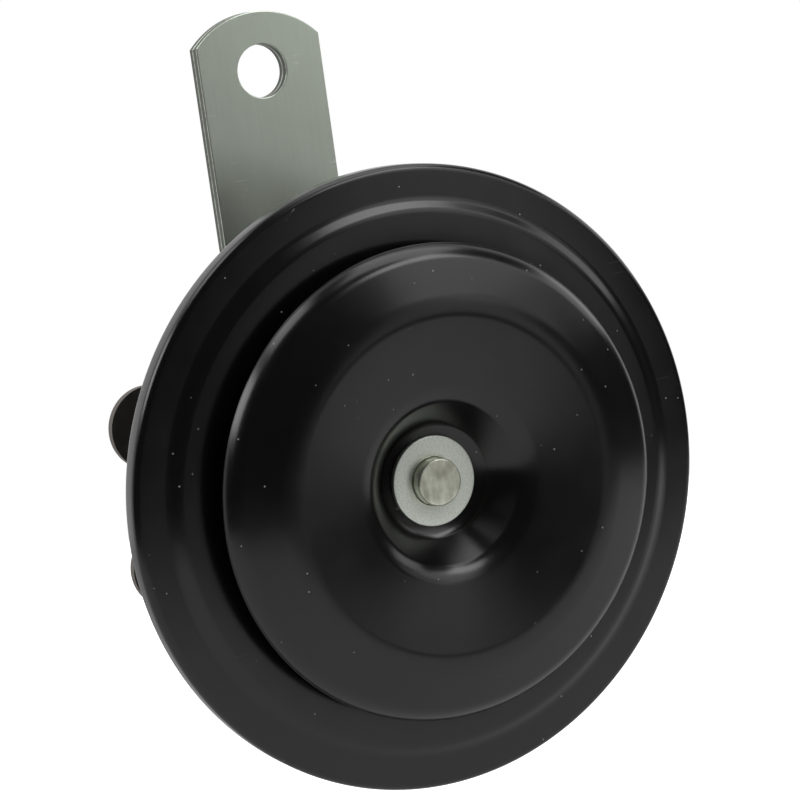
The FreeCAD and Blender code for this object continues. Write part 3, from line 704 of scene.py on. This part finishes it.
def section(corners: Sequence[Corner], close: bool, steps: int = BEND_STEPS) -> bmesh.types.BMesh:
    """Draws a section in the plane of X and Y and rounds its corners.

    Args:
        corners: The corners in order.
        close: Whether the last corner joins the first.
        steps: How many faces a rounded corner gets.

    Returns:
        The section as edges.
    """
    bm = bmesh.new()
    verts = [bm.verts.new((c.radius, c.station, 0.0)) for c in corners]
    for a, b in zip(verts, verts[1:] + (verts[:1] if close else [])):
        bm.edges.new((a, b))
    for vert, corner in zip(verts, corners):
        if corner.bend > 0.0:
            ways = [edge.other_vert(vert).co - vert.co for edge in vert.link_edges]
            reach = corner.bend * math.tan((math.pi - ways[0].angle(ways[1])) / 2.0)
            bmesh.ops.bevel(bm, geom=[vert], offset=reach, offset_type="OFFSET", segments=steps,
                            profile=0.5, affect="VERTICES", material=-1, clamp_overlap=False)
    return bm


def turn(bm: bmesh.types.BMesh, centre: Vector, steps: int = ROUND_STEPS) -> bmesh.types.BMesh:
    """Spins a section about an axis along Y and puts it in its place.

    Args:
        bm: The section, drawn from the axis.
        centre: A point on the axis, with the section's stations counted from world zero.
        steps: The number of steps in the full turn.

    Returns:
        The same mesh.
    """
    bmesh.ops.spin(bm, geom=bm.verts[:] + bm.edges[:], cent=(0.0, 0.0, 0.0), axis=(0.0, 1.0, 0.0),
                   dvec=(0.0, 0.0, 0.0), angle=2.0 * math.pi, steps=steps, use_merge=True,
                   use_duplicate=False, use_normal_flip=False)
    bmesh.ops.remove_doubles(bm, verts=bm.verts, dist=SAME_PLACE)
    bmesh.ops.translate(bm, vec=(centre.x, 0.0, centre.z), verts=bm.verts)
    return bm


def even_normals(made: bpy.types.Object) -> None:
    """Keeps flat faces flat in the shading beside their rounded edges."""
    weighted = made.modifiers.new("even_normals", "WEIGHTED_NORMAL")
    weighted.keep_sharp = True


def give_wall(made: bpy.types.Object, sheet: float, edge_break: float) -> None:
    """Gives a drawn face the thickness of its sheet, behind it, and breaks the cut edges.

    Args:
        made: The object with the drawn face.
        sheet: The sheet's thickness in millimetres.
        edge_break: The rounding of the cut edges in millimetres.
    """
    wall = made.modifiers.new("sheet", "SOLIDIFY")
    wall.thickness = sheet * MM
    wall.offset = -1.0
    wall.use_even_offset = True
    rounding = made.modifiers.new("edge_break", "BEVEL")
    rounding.width = edge_break * MM
    rounding.segments = 3
    rounding.limit_method = "ANGLE"
    rounding.angle_limit = SHEET_EDGE_ANGLE
    rounding.use_clamp_overlap = False


@dataclass
class SoundHead:
    """The front of the horn: pressed ring, dished tone disc, washer and peened stud."""

    axis: Vector
    ring_sheet: float = 1.0
    rim_bend: float = 1.2
    fold_bend: float = 1.1
    fold_width: float = 3.4
    land_width: float = 5.5
    step_run: float = 1.75
    step_height: float = 1.0
    step_bends: tuple[float, float] = (2.2, 2.2)
    opening_radius: float = 32.0
    disc_sheet: float = 1.2
    disc_edge_break: float = 0.22
    ring_edge_break: float = 0.15
    floor_margin: float = 1.25
    disc_runs: tuple[float, ...] = (5.5, 14.2, 9.0, 0.6)
    disc_rises: tuple[float, ...] = (6.8, 2.15, -2.86, -2.22)
    disc_bends: tuple[float, ...] = (3.0, 5.0, 9.0, 4.0)
    disc_bend_steps: int = 12
    stud_radius: float = 3.8
    bore_clearance: float = 0.08
    washer_edge: float = 0.18
    peened_edge: float = 0.35
    peened_rings: tuple[float, float] = (0.45, 0.8)

    def build(self) -> None:
        """Builds the four pieces."""
        self.front_ring()
        self.tone_disc()
        self.washer()
        self.stud()

    def front_ring(self) -> None:
        """Spins the ring's front face, from its opening over the rim to the end of the fold."""
        box = Span.of("front_ring")
        rim, front, rear = self.axis.z - box.low.z, box.low.y, box.high.y
        land = rim - self.land_width
        crest_bend, root_bend = self.step_bends
        corners = [Corner(self.opening_radius, front), Corner(land - self.step_run, front, crest_bend),
                   Corner(land, front + self.step_height, root_bend),
                   Corner(rim, front + self.step_height, self.rim_bend),
                   Corner(rim, rear, self.fold_bend), Corner(rim - self.fold_width, rear)]
        piece = Piece("front_ring_pressing", Body.HORN, BLACK_COAT, ("front_ring",))
        made = piece.place(turn(section(corners, close=False), self.axis), Facing.FRONT)
        give_wall(made, self.ring_sheet, self.ring_edge_break)

    def tone_disc(self) -> None:
        """Spins the dish's front face from its bore to its lip."""
        washer = Span.of("tone_disc_washer")
        floor = washer.high.y
        radius = washer.radius + self.floor_margin
        corners = [Corner(self.stud_radius + self.bore_clearance, floor),
                   Corner(radius, floor, self.disc_bends[0])]
        station = floor
        bends = self.disc_bends[1:] + (0.0,)
        for run, rise, bend in zip(self.disc_runs, self.disc_rises, bends):
            radius += run
            station -= rise
            corners.append(Corner(radius, station, bend))
        piece = Piece("tone_disc_pressing", Body.SOUNDER, BLACK_COAT, ("tone_disc",))
        bm = turn(section(corners, close=False, steps=self.disc_bend_steps), self.axis)
        made = piece.place(bm, Facing.FRONT)
        give_wall(made, self.disc_sheet, self.disc_edge_break)

    def washer(self) -> None:
        """Turns the plain washer with rounded edges."""
        box = Span.of("tone_disc_washer")
        bore = self.stud_radius + self.bore_clearance
        edge = self.washer_edge
        corners = [Corner(bore, box.low.y, edge), Corner(box.radius, box.low.y, edge),
                   Corner(box.radius, box.high.y, edge), Corner(bore, box.high.y)]
        piece = Piece("plain_washer", Body.SOUNDER, ZINC_PARTS, ("tone_disc_washer",))
        even_normals(piece.place(turn(section(corners, close=True, steps=4), self.axis)))

    def stud(self) -> None:
        """Turns the stud and dents its peened end."""
        box = Span.of("armature_stud")
        shoulder = Span.of("armature").low.y
        slim = self.stud_radius
        face = [Corner(slim * share, box.low.y) for share in (0.0,) + self.peened_rings]
        corners = face + [Corner(slim, box.low.y, self.peened_edge), Corner(slim, shoulder),
                          Corner(box.radius, shoulder), Corner(box.radius, box.high.y),
                          Corner(0.0, box.high.y)]
        bm = turn(section(corners, close=False, steps=5), self.axis, SMALL_ROUND_STEPS)
        Piece("peened_stud", Body.SOUNDER, PEENED_STEEL, ("armature_stud",)).place(bm)


@dataclass
class Outline:
    """A flat outline in a plane across Y, drawn with straight runs and arcs."""

    start: tuple[float, float]
    level: float
    bm: bmesh.types.BMesh = field(default_factory=bmesh.new)
    first: bmesh.types.BMVert = None
    last: bmesh.types.BMVert = None

    def __post_init__(self) -> None:
        """Sets the first point."""
        self.first = self.bm.verts.new((self.start[0], self.level, self.start[1]))
        self.last = self.first

    def line(self, x: float, z: float) -> "Outline":
        """Adds a straight run.

        Args:
            x: Its end's X.
            z: Its end's Z.

        Returns:
            The outline itself.
        """
        point = self.bm.verts.new((x, self.level, z))
        self.bm.edges.new((self.last, point))
        self.last = point
        return self

    def arc(self, x: float, z: float, degrees: float, steps: int) -> "Outline":
        """Adds an arc about a centre.

        Args:
            x: The centre's X.
            z: The centre's Z.
            degrees: The angle; a positive one turns from +X towards +Z.
            steps: The number of steps in the arc.

        Returns:
            The outline itself.
        """
        made = bmesh.ops.spin(self.bm, geom=[self.last], cent=(x, self.level, z), axis=(0.0, -1.0, 0.0),
                              dvec=(0.0, 0.0, 0.0), angle=math.radians(degrees), steps=steps,
                              use_merge=False, use_duplicate=False, use_normal_flip=False)
        self.last = next(g for g in made["geom_last"] if isinstance(g, bmesh.types.BMVert))
        return self

    def plate(self, thickness: float, edge_break: float, mirror_at: float | None = None) -> bmesh.types.BMesh:
        """Fills the outline, gives it its thickness along +Y and rounds its edges.

        Args:
            thickness: The plate's thickness.
            edge_break: The rounding of its edges.
            mirror_at: The X of the plane that the outline is half of, or None.

        Returns:
            The plate's mesh.
        """
        bm = self.bm
        bm.edges.new((self.last, self.first))
        bmesh.ops.remove_doubles(bm, verts=bm.verts, dist=SAME_PLACE)
        bmesh.ops.contextual_create(bm, geom=bm.edges[:])
        grown = bmesh.ops.extrude_face_region(bm, geom=bm.faces[:], use_keep_orig=True)
        moved = [g for g in grown["geom"] if isinstance(g, bmesh.types.BMVert)]
        bmesh.ops.translate(bm, vec=(0.0, thickness, 0.0), verts=moved)
        if mirror_at is not None:
            seam = [f for f in bm.faces if all(abs(v.co.x - mirror_at) < SAME_PLACE for v in f.verts)]
            bmesh.ops.delete(bm, geom=seam, context="FACES_ONLY")
            bmesh.ops.mirror(bm, geom=bm.verts[:] + bm.edges[:] + bm.faces[:],
                             matrix=Matrix.Translation((-mirror_at, 0.0, 0.0)),
                             merge_dist=SAME_PLACE, axis="X")
        bmesh.ops.remove_doubles(bm, verts=bm.verts, dist=SAME_PLACE)
        bmesh.ops.recalc_face_normals(bm, faces=bm.faces)
        bm.normal_update()
        edges = [e for e in bm.edges if len(e.link_faces) == 2 and e.calc_face_angle(0.0) > SHARP_ANGLE]
        bmesh.ops.bevel(bm, geom=edges, offset=edge_break, offset_type="OFFSET", segments=3, profile=0.5,
                        affect="EDGES", material=-1, clamp_overlap=False)
        return bm


@dataclass
class Bracket:
    """The two-leaf bracket, with the nut, split washer and spacer that hold it on the horn's stud."""

    axis: Vector
    hole_radius: float = 4.5
    stud_hole_radius: float = 4.2
    crown_radius: float = 15.6
    edge_break: float = 0.2
    leaves: tuple[str, ...] = ("bracket_front_leaf", "bracket_rear_leaf")
    crown_steps: int = 30
    arc_steps: int = 40
    nut_bore: float = 4.05
    nut_bore_edge: float = 0.3
    nut_chamfer_angle: float = 30.0
    nut_sides: int = 6
    blank_margin: float = 0.2

    def build(self) -> None:
        """Builds both leaves and the hardware."""
        for leaf in self.leaves:
            self.leaf(leaf)
        self.nut()

    def leaf(self, node: str) -> None:
        """Draws half of a leaf, mirrors it and rounds its edges.

        Args:
            node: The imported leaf.
        """
        box = Span.of(node)
        half, crown, foot = box.high.x, box.high.z, self.axis.z
        centre = crown - self.crown_radius
        spread = math.degrees(math.asin(half / self.crown_radius))
        hole, stud, steps = self.hole_radius, self.stud_hole_radius, self.arc_steps
        outline = Outline((0.0, crown), box.low.y)
        outline.arc(0.0, centre, -spread, self.crown_steps).line(half, foot).arc(0.0, foot, -90.0, steps)
        outline.line(0.0, foot - stud).arc(0.0, foot, 180.0, steps)
        outline.line(0.0, -hole).arc(0.0, 0.0, 180.0, steps)
        bm = outline.plate(box.high.y - box.low.y, self.edge_break, mirror_at=0.0)
        even_normals(Piece(node + "_plate", Body.HORN, ZINC_STRIP, (node,)).place(bm))

    def nut(self) -> None:
        """Turns a chamfered blank with its bore and cuts the six flats."""
        box = Span.of("bracket_nut")
        corner, half_side = box.radius, math.pi / self.nut_sides
        flat = corner * math.cos(half_side)
        drop = (corner - flat) * math.tan(math.radians(self.nut_chamfer_angle))
        front, rear, blank = box.low.y, box.high.y, corner + self.blank_margin
        corners = [Corner(self.nut_bore, front, self.nut_bore_edge), Corner(flat, front),
                   Corner(blank, front + drop), Corner(blank, rear - drop),
                   Corner(flat, rear), Corner(self.nut_bore, rear, self.nut_bore_edge)]
        bm = turn(section(corners, close=True, steps=3), self.axis, SMALL_ROUND_STEPS)
        for side in range(self.nut_sides):
            angle = half_side * (2 * side + 1)
            way = Vector((math.cos(angle), 0.0, math.sin(angle)))
            cut = bmesh.ops.bisect_plane(bm, geom=bm.verts[:] + bm.edges[:] + bm.faces[:], dist=SAME_PLACE,
                                         plane_co=self.axis + way * flat, plane_no=way, clear_outer=True)
            rim = [g for g in cut["geom_cut"] if isinstance(g, bmesh.types.BMEdge)]
            bmesh.ops.contextual_create(bm, geom=rim)
        even_normals(Piece("hex_nut", Body.HORN, ZINC_HARDWARE, ("bracket_nut",), 25.0).place(bm))


@dataclass
class Housing:
    """The drawn housing behind the ring."""

    axis: Vector
    sheet: float = 1.0
    boss_bore: float = 5.55
    boss_top_radius: float = 14.5
    boss_radius: float = 17.5
    back_radius: float = 29.8
    wall_radius: float = 30.6
    ledge_radius: float = 38.5
    mouth_radius: float = 40.0
    boss_height: float = 4.0
    ledge_depth: float = 11.3
    bend: float = 0.8
    corner_radius: float = 3.5
    edge_break: float = 0.15

    def build(self) -> None:
        """Spins the housing's outer face from the boss to the edge of its flange."""
        box = Span.of("rear_housing")
        boss, front = box.high.y, box.low.y
        back, ledge, flange = boss - self.boss_height, front + self.ledge_depth, front + self.sheet
        outer = self.sheet + self.bend
        corners = [Corner(self.boss_bore, boss), Corner(self.boss_top_radius, boss, outer),
                   Corner(self.boss_radius, back, self.bend),
                   Corner(self.back_radius, back, self.corner_radius),
                   Corner(self.wall_radius, ledge, self.bend), Corner(self.ledge_radius, ledge, outer),
                   Corner(self.mouth_radius, flange, self.bend), Corner(self.axis.z - box.low.z, flange)]
        piece = Piece("drawn_housing", Body.HORN, BLACK_COAT, ("rear_housing",))
        made = piece.place(turn(section(corners, close=False), self.axis), Facing.REAR)
        give_wall(made, self.sheet, self.edge_break)


@dataclass
class PoleCore:
    """The magnet's core, its neck, and the threaded stud that carries the bracket."""

    axis: Vector
    neck_radius: float = 5.5
    stud_radius: float = 4.0
    tip_chamfer: float = 0.8
    tip_fall: float = 0.35
    tip_edge: float = 0.2
    edge: float = 0.5
    pitch: float = 1.25
    thread_depth: float = 0.65
    crest: float = 0.16
    ridge_root: float = 0.1
    steps_in_turn: int = 64

    def build(self) -> None:
        """Turns the core and the plain stud's root, then cuts the thread as a piece of its own."""
        box = Span.of("pole_core")
        boss, stack = Span.of("rear_housing").high.y, Span.of("bracket_nut").low.y
        root = self.stud_radius - self.thread_depth
        inside = boss - Housing.sheet
        tip = box.high.y
        corners = [Corner(0.0, box.low.y), Corner(box.radius, box.low.y, self.edge),
                   Corner(box.radius, inside), Corner(self.neck_radius, inside),
                   Corner(self.neck_radius, boss), Corner(self.stud_radius, boss),
                   Corner(self.stud_radius, stack), Corner(root, stack),
                   Corner(root, tip - self.tip_chamfer * 0.4, self.tip_edge),
                   Corner(root - self.tip_fall, tip), Corner(0.0, tip)]
        piece = Piece("pole_core_turned", Body.HORN, TURNED_STEEL, ("pole_core",))
        piece.place(turn(section(corners, close=False, steps=4), self.axis, SMALL_ROUND_STEPS))
        self.thread(stack, tip)

    def thread(self, start: float, tip: float) -> None:
        """Winds the thread's ridge round the stud and cuts both its ends square.

        Args:
            start: The station where it begins, inside the nut.
            tip: The station of the stud's end.
        """
        half, root = self.pitch / 2.0, self.stud_radius - self.thread_depth
        low, sunk = start - self.pitch, root - self.ridge_root
        ridge = [Corner(sunk, low - half * 0.98), Corner(root, low - half * 0.9),
                 Corner(self.stud_radius, low - self.crest / 2.0),
                 Corner(self.stud_radius, low + self.crest / 2.0),
                 Corner(root, low + half * 0.9), Corner(sunk, low + half * 0.98)]
        bm = section(ridge, close=True)
        turns = (tip - start) / self.pitch + 2.0
        steps = int(turns * self.steps_in_turn)
        bmesh.ops.spin(bm, geom=bm.verts[:] + bm.edges[:], cent=(0.0, 0.0, 0.0), axis=(0.0, 1.0, 0.0),
                       dvec=(0.0, self.pitch / self.steps_in_turn, 0.0), steps=steps, use_merge=False,
                       angle=2.0 * math.pi * steps / self.steps_in_turn, use_duplicate=False,
                       use_normal_flip=False)
        bmesh.ops.translate(bm, vec=(self.axis.x, 0.0, self.axis.z), verts=bm.verts)
        for station, way in ((start, -1.0), (tip - self.tip_chamfer * 0.5, 1.0)):
            cut = bmesh.ops.bisect_plane(bm, geom=bm.verts[:] + bm.edges[:] + bm.faces[:], dist=SAME_PLACE,
                                         plane_co=(0.0, station, 0.0), plane_no=(0.0, way, 0.0),
                                         clear_outer=True)
            rim = [g for g in cut["geom_cut"] if isinstance(g, bmesh.types.BMEdge)]
            bmesh.ops.holes_fill(bm, edges=rim, sides=0)
        Piece("stud_thread", Body.HORN, TURNED_STEEL, (), 30.0).place(bm)


@dataclass
class CarriedOver:
    """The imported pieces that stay: each gets its finish, and broken edges where it can be seen."""

    edge_breaks: dict[str, float] = field(default_factory=lambda: {
        "terminal_carrier": 0.15, "upper_terminal": 0.1, "lower_terminal": 0.1, "bracket_spacer": 0.25,
        "spring_washer": 0.2, "adjuster_nut": 0.2, "adjusting_screw": 0.12, "sealing_lacquer": 0.15})

    def build(self, nodes: dict[str, bpy.types.Object]) -> None:
        """Dresses every node in the table.

        Args:
            nodes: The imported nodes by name.
        """
        for finish, names in CARRIED_OVER.items():
            for name in names:
                nodes[name].data.materials.clear()
                nodes[name].data.materials.append(finish.build())
                if name in self.edge_breaks:
                    self.break_edges(nodes[name], self.edge_breaks[name])
                LOG.info("%s: %s", name, finish.name)

    def break_edges(self, node: bpy.types.Object, width: float) -> None:
        """Rounds a node's sharp edges with a modifier.

        Args:
            node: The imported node.
            width: The rounding in millimetres.
        """
        rounding = node.modifiers.new("edge_break", "BEVEL")
        rounding.width = width * MM
        rounding.segments = 3
        rounding.limit_method = "ANGLE"
        rounding.angle_limit = SHARP_ANGLE
        even_normals(node)


@dataclass(frozen=True)
class Softbox:
    """A rectangular studio light that looks at the object.

    The direction goes from the object to the light, sizes are in metres and radiance is in
    parts of a white surface's.
    """

    name: str
    way: tuple[float, float, float]
    distance: float
    size: tuple[float, float]
    radiance: float

    def hang(self, middle: Vector) -> None:
        """Makes the light.

        Args:
            middle: The point that it looks at.
        """
        data = bpy.data.lights.new(self.name, "AREA")
        data.shape = "RECTANGLE"
        data.size, data.size_y = self.size
        data.energy = self.radiance * math.pi * self.size[0] * self.size[1]
        made = bpy.data.objects.new(self.name, data)
        way = Vector(self.way).normalized()
        made.location = middle + way * self.distance
        made.rotation_mode = "QUATERNION"
        made.rotation_quaternion = way.to_track_quat("Z", "Y")
        bpy.context.scene.collection.objects.link(made)


@dataclass
class Studio:
    """Camera, softboxes, a round white table and the surround."""

    camera_place: Vector = field(default_factory=lambda: Vector((-0.180154, -0.400514, 0.009602)))
    camera_right: Vector = field(default_factory=lambda: Vector((0.87765616, -0.45945289, -0.13646505)))
    camera_up: Vector = field(default_factory=lambda: Vector((0.19205155, 0.07625459, 0.97841783)))
    camera_lens: float = 115.39
    camera_near: float = 0.01
    middle: Vector = field(default_factory=lambda: Vector((0.0, -0.045, -0.0665)))
    table_drop: float = 0.055
    table_radius: float = 0.50
    table_shift: float = -0.05
    table_steps: int = 128
    table_colour: str = "#dedede"
    table_glow: float = 0.84
    table_gloss: float = 0.08
    glow_from: float = 0.16
    glow_to: float = 0.36
    room: float = 0.04
    wall: float = 1.0
    wall_from: float = 0.05
    wall_full: float = 0.35
    fill: float = 0.25
    softboxes: tuple[Softbox, ...] = (
        Softbox("overhead", (0.34, -0.08, 0.94), 1.30, (0.80, 0.80), 2.2),
        Softbox("front_high", (0.56, -0.65, 0.48), 0.80, (0.50, 0.28), 1.5),
        Softbox("front_top", (0.40, -0.56, 0.72), 0.80, (0.40, 0.22), 4.8),
        Softbox("front_middle", (0.68, -0.70, 0.22), 0.80, (0.34, 0.14), 0.8),
        Softbox("right", (0.92, -0.10, 0.32), 0.80, (0.62, 0.26), 1.6),
        Softbox("front_low", (0.49, -0.86, 0.12), 0.80, (0.18, 0.40), 0.85),
        Softbox("left", (-0.82, 0.08, 0.56), 0.80, (0.44, 0.30), 4.6),
        Softbox("top_left", (-0.42, 0.02, 0.91), 0.80, (0.42, 0.28), 3.0),
    )

    def build(self, low: Vector) -> None:
        """Builds all of it.

        Args:
            low: The object's lowest corner.
        """
        self.camera()
        self.table(low.z - self.table_drop)
        self.surround()
        for softbox in self.softboxes:
            softbox.hang(self.middle)
        bpy.context.scene.view_settings.view_transform = "Standard"

    def camera(self) -> None:
        """Sets the camera where the picture was taken from."""
        data = bpy.data.cameras.new("camera")
        data.lens = self.camera_lens
        data.clip_start = self.camera_near
        made = bpy.data.objects.new("camera", data)
        back = self.camera_right.cross(self.camera_up)
        turned = Matrix((self.camera_right, self.camera_up, back)).transposed()
        made.matrix_world = Matrix.Translation(self.camera_place) @ turned.to_4x4()
        bpy.context.scene.collection.objects.link(made)
        bpy.context.scene.camera = made

    def table(self, height: float) -> None:
        """Lays the round table top.

        Args:
            height: Its height in metres.
        """
        bm = bmesh.new()
        bmesh.ops.create_circle(bm, cap_ends=True, segments=self.table_steps, radius=self.table_radius)
        bmesh.ops.translate(bm, vec=(self.table_shift, 0.0, height), verts=bm.verts)
        mesh = bpy.data.meshes.new("studio_table")
        bm.to_mesh(mesh)
        bm.free()
        made = bpy.data.objects.new("studio_table", mesh)
        bpy.context.scene.collection.objects.link(made)
        mesh.materials.append(self.table_paint())
        made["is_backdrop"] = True

    def table_paint(self) -> bpy.types.Material:
        """Mixes a white that holds the object's shadow and passes into the surround's white.

        Returns:
            The table's material.
        """
        made = bpy.data.materials.new("Studio_table_paint")
        made.use_nodes = True
        tree = made.node_tree
        tree.nodes.clear()
        place = add_node(tree, "ShaderNodeTexCoord").outputs["Object"]
        flat = add_node(tree, "ShaderNodeVectorMath", {0: place, 1: (1.0, 1.0, 0.0)}, operation="MULTIPLY")
        far = add_node(tree, "ShaderNodeVectorMath", {0: flat.outputs["Vector"]}, operation="LENGTH")
        glow = add_node(tree, "ShaderNodeMapRange",
                        {"Value": far.outputs["Value"], "From Min": self.glow_from, "From Max": self.glow_to,
                         "To Min": self.table_glow, "To Max": 1.0})
        path = add_node(tree, "ShaderNodeLightPath")
        gloss = add_node(tree, "ShaderNodeMath", {0: path.outputs["Is Glossy Ray"], 1: self.table_gloss},
                         operation="MULTIPLY")
        seen = add_node(tree, "ShaderNodeMath", {0: path.outputs["Is Camera Ray"], 1: glow.outputs["Result"],
                                                 2: gloss.outputs[0]}, operation="MULTIPLY_ADD")
        light = add_node(tree, "ShaderNodeEmission", {"Strength": seen.outputs[0]})
        matt = add_node(tree, "ShaderNodeBsdfDiffuse", {"Color": linear(self.table_colour)})
        both = add_node(tree, "ShaderNodeAddShader", {0: light.outputs[0], 1: matt.outputs[0]})
        add_node(tree, "ShaderNodeOutputMaterial", {"Surface": both.outputs[0]})
        return made

    def surround(self) -> None:
        """Makes the surround: white to the camera; to gloss, a white wall behind and a dark room in front."""
        world = bpy.data.worlds.new("studio")
        bpy.context.scene.world = world
        world.use_nodes = True
        tree = world.node_tree
        tree.nodes.clear()
        path = add_node(tree, "ShaderNodeLightPath")
        way = add_node(tree, "ShaderNodeTexCoord").outputs["Generated"]
        parts = add_node(tree, "ShaderNodeSeparateXYZ", {"Vector": way})
        behind = add_node(tree, "ShaderNodeMapRange",
                          {"Value": parts.outputs["Y"], "From Min": self.wall_from,
                           "From Max": self.wall_full, "To Min": self.room, "To Max": self.wall})
        seen = add_node(tree, "ShaderNodeMath", {0: path.outputs["Is Glossy Ray"],
                                                 1: path.outputs["Is Transmission Ray"]},
                        operation="ADD", use_clamp=True)
        fill = add_node(tree, "ShaderNodeBackground", {"Strength": self.fill})
        wall = add_node(tree, "ShaderNodeBackground", {"Strength": behind.outputs["Result"]})
        white = add_node(tree, "ShaderNodeBackground", {"Strength": 1.0})
        for background in (fill, wall, white):
            background.inputs["Color"].default_value = (1.0, 1.0, 1.0, 1.0)
        first = add_node(tree, "ShaderNodeMixShader", {0: seen.outputs[0], 1: fill.outputs[0],
                                                       2: wall.outputs[0]})
        last = add_node(tree, "ShaderNodeMixShader", {0: path.outputs["Is Camera Ray"], 1: first.outputs[0],
                                                      2: white.outputs[0]})
        add_node(tree, "ShaderNodeOutputWorld", {"Surface": last.outputs[0]})


def main() -> None:
    """Loads the frame and builds the horn's classes in order."""
    logging.basicConfig(level=logging.INFO, format="%(name)s %(message)s")
    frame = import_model()
    cad_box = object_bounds()
    axis = Span.of("pole_plate").middle
    axis.x = 0.0
    CarriedOver().build(frame["nodes"])
    for assembly in (SoundHead(axis), Housing(axis), Bracket(axis), PoleCore(axis)):
        assembly.build()
    Studio().build(cad_box[0])


if __name__ == "__main__":
    main()
